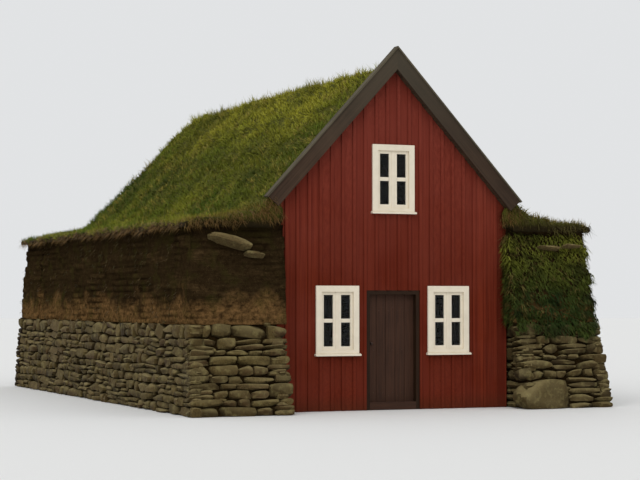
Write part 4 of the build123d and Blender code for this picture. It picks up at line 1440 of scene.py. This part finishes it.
def add_lumps(form):
    """Sinks the open turf under its grass, with lumps and hollows, and clears the timber."""
    moves = {}
    for vert in form.verts:
        place, normal = vert.co, vert.normal
        over_room = abs(place.x) < HALF_GABLE + 0.04 and place.y < ROOM_REAR_Y + NEAR
        deck_z = DECK_TOP_PEAK - abs(place.x) * tan(ROOF_SLOPE)
        if over_room and place.y < FACE_Y - NEAR and place.z < deck_z - 0.06:
            moves[vert] = Vector((-CORNER_LAP if place.x > 0 else CORNER_LAP, 0, 0))
            continue
        if over_room and place.z < deck_z + 0.1 and normal.z < 0.3:
            moves[vert] = Vector((0, 0, max(0.0, deck_z + 0.006 - place.z)))
            continue
        if place.z < WALL_TOP + NEAR or abs(place.y - ROOM_REAR_Y) < NEAR and normal.y < -0.5:
            continue
        lump = 0.05 * noise.noise(place * 1.1) + 0.03 * noise.noise(place * 3.3)
        rise = lump + 0.012 * noise.noise(place * 9) - SKIN_DEPTH * max(0.0, normal.z)
        rise -= RIDGE_SINK * max(0.0, 1 - abs(place.x) / 0.5) * (place.z > WALL_TOP + 1)
        if abs(place.x) < BARGE_END_X + 0.05:
            free = clamped((place.y - CAP_REAR_Y) / 0.2)
            rise = rise * free - CAP_CLEARANCE * (1 - free)
        moves[vert] = normal * rise
    for vert, move in moves.items():
        vert.co += move
    form.normal_update()


def turf_roof(shapes):
    """The turf over the whole house with its grass, and what hangs from its edges."""
    form = turf_form()
    add_lumps(form)

    def region(place, normal):
        """The piece of grass that a place belongs to, if it is open."""
        capped = place.y < CAP_REAR_Y + NEAR and abs(place.x) < BARGE_END_X + NEAR
        if normal.z <= 0.2 or place.z <= WALL_TOP + 0.05 or capped:
            return None
        if abs(place.x) >= BEND_X:
            return "wall_top_grass"
        if place.y >= ROOM_REAR_Y:
            return "rear_slope_grass"
        return "right_slope_grass" if place.x >= 0 else "left_slope_grass"

    def ridge(place, normal):
        return region(place, normal) and place.z > TURF_APEX_Z - RIDGE_RISE

    def edge(place, normal):
        beside = abs(place.x) > TURF_EDGE_X - EDGE_WIDTH
        behind = place.y > TURF_REAR_Y - EDGE_WIDTH
        front = place.y < FACE_Y and abs(place.x) > HALF_GABLE - EDGE_WIDTH
        under_barge = abs(place.x) < BARGE_END_X and place.z > WALL_TOP + 0.4
        inward = (TURF_EDGE_X - abs(place.x)) / (TURF_EDGE_X - HALF_GABLE)
        bare = place.y < FACE_Y and place.z < WALL_TOP + FRINGE_FOOT * inward
        at_edge = (beside or behind or front) and not under_barge and not bare
        return -0.4 < normal.z <= 0.7 and at_edge

    tufts = (shapes["short"], GRASS_DENSITY)
    names = ("right_slope_grass", "left_slope_grass", "wall_top_grass", "rear_slope_grass")
    for seed, name in zip((61, 68, 75, 82), names):
        plant(name, form, lambda *at: region(*at) == name, *tufts, seed, GRASS, "roof_turf")
    plant("ridge_grass", form, ridge, shapes["tall"], RIDGE_DENSITY, 89, GRASS, "roof_turf")
    fringe = (shapes["hanging"], FRINGE_DENSITY, 97, HANGING_GRASS, "roof_turf", True)
    plant("edge_fringe", form, edge, *fringe)
    mesh = mesh_of("turf_skin", form)
    nodes = tuple(TURF_NODES)
    finish_piece("turf_skin", mesh, UNDER_GRASS, replaced=nodes, smooth=True)


# Stage, light and camera

FLOOR_RADIUS, FLOOR_DROP = 140, 0.004
VIEW_AZIMUTH = radians(25)
VIEW_DISTANCE = 28.3
EYE_HEIGHT = 1.66
LENS = 105.0
AIM = Vector((-1.2, FACE_Y, 2.55))


def stage():
    """A pale floor far wider than the view, just under the house."""
    bm = bmesh.new()
    matrix = Matrix.Translation((0, 0, -FLOOR_DROP))
    bmesh.ops.create_circle(bm, cap_ends=True, segments=96, radius=FLOOR_RADIUS, matrix=matrix)
    ground = add_object("floor", mesh_of("floor", bm))
    material, _, surface, _ = new_material("pale_floor", 0.9)
    surface.inputs["Base Color"].default_value = (0.82, 0.82, 0.81, 1)
    ground.data.materials.append(material)


def light():
    """An even sky with a broad soft light from the front left, as on a grey day."""
    world = bpy.data.worlds.new("sky")
    bpy.context.scene.world = world
    world.use_nodes = True
    tree = world.node_tree
    background = tree.nodes["Background"]
    background.inputs["Color"].default_value = (0.97, 0.985, 1.0, 1)
    rays = add_node(tree, "ShaderNodeLightPath").outputs
    direct = calculate(tree, "MAXIMUM", rays["Is Camera Ray"], rays["Is Glossy Ray"])
    seen = calculate(tree, "MAXIMUM", direct, rays["Is Transmission Ray"])
    strength = spread(tree, seen, 0.0, 1.0, 0.72, 0.78)
    tree.links.new(strength, background.inputs["Strength"])

    lamp = bpy.data.lights.new("soft_light", "SUN")
    lamp.energy = 1.1
    lamp.angle = radians(50)
    lamp.color = (1.0, 0.985, 0.96)
    add_object("soft_light", lamp).rotation_euler = (radians(48), 0, radians(-38))


def camera():
    """Stands where the photographer stood, with a longer lens."""
    lens = bpy.data.cameras.new("camera")
    lens.lens = LENS
    lens.clip_end = 400
    eye = add_object("camera", lens)
    sideways, back = VIEW_DISTANCE * sin(VIEW_AZIMUTH), VIEW_DISTANCE * cos(VIEW_AZIMUTH)
    eye.location = (-sideways, FACE_Y - back, EYE_HEIGHT)
    eye.rotation_euler = (AIM - eye.location).to_track_quat("-Z", "Y").to_euler()
    bpy.context.scene.camera = eye


camera()
light()
stage()
timber_front()
glazing_bars()
door()
kept_nodes()
floors()
roof_deck()
stone_walls()
bedded_slabs()
rng = Random(53)
tufts = {name: tuft_shapes(name, rng, *sizes) for name, sizes in TUFTS.items()}
turf_wall("left_wall_turf", 1.5, tufts)
turf_wall("right_wall_turf", 2.5, tufts)
turf_wall("rear_wall_turf", 3.5, tufts)
trailing_growth(tufts)
turf_roof(tufts)
clear_shapes(tufts)

bpy.context.scene.view_settings.view_transform = "Standard"
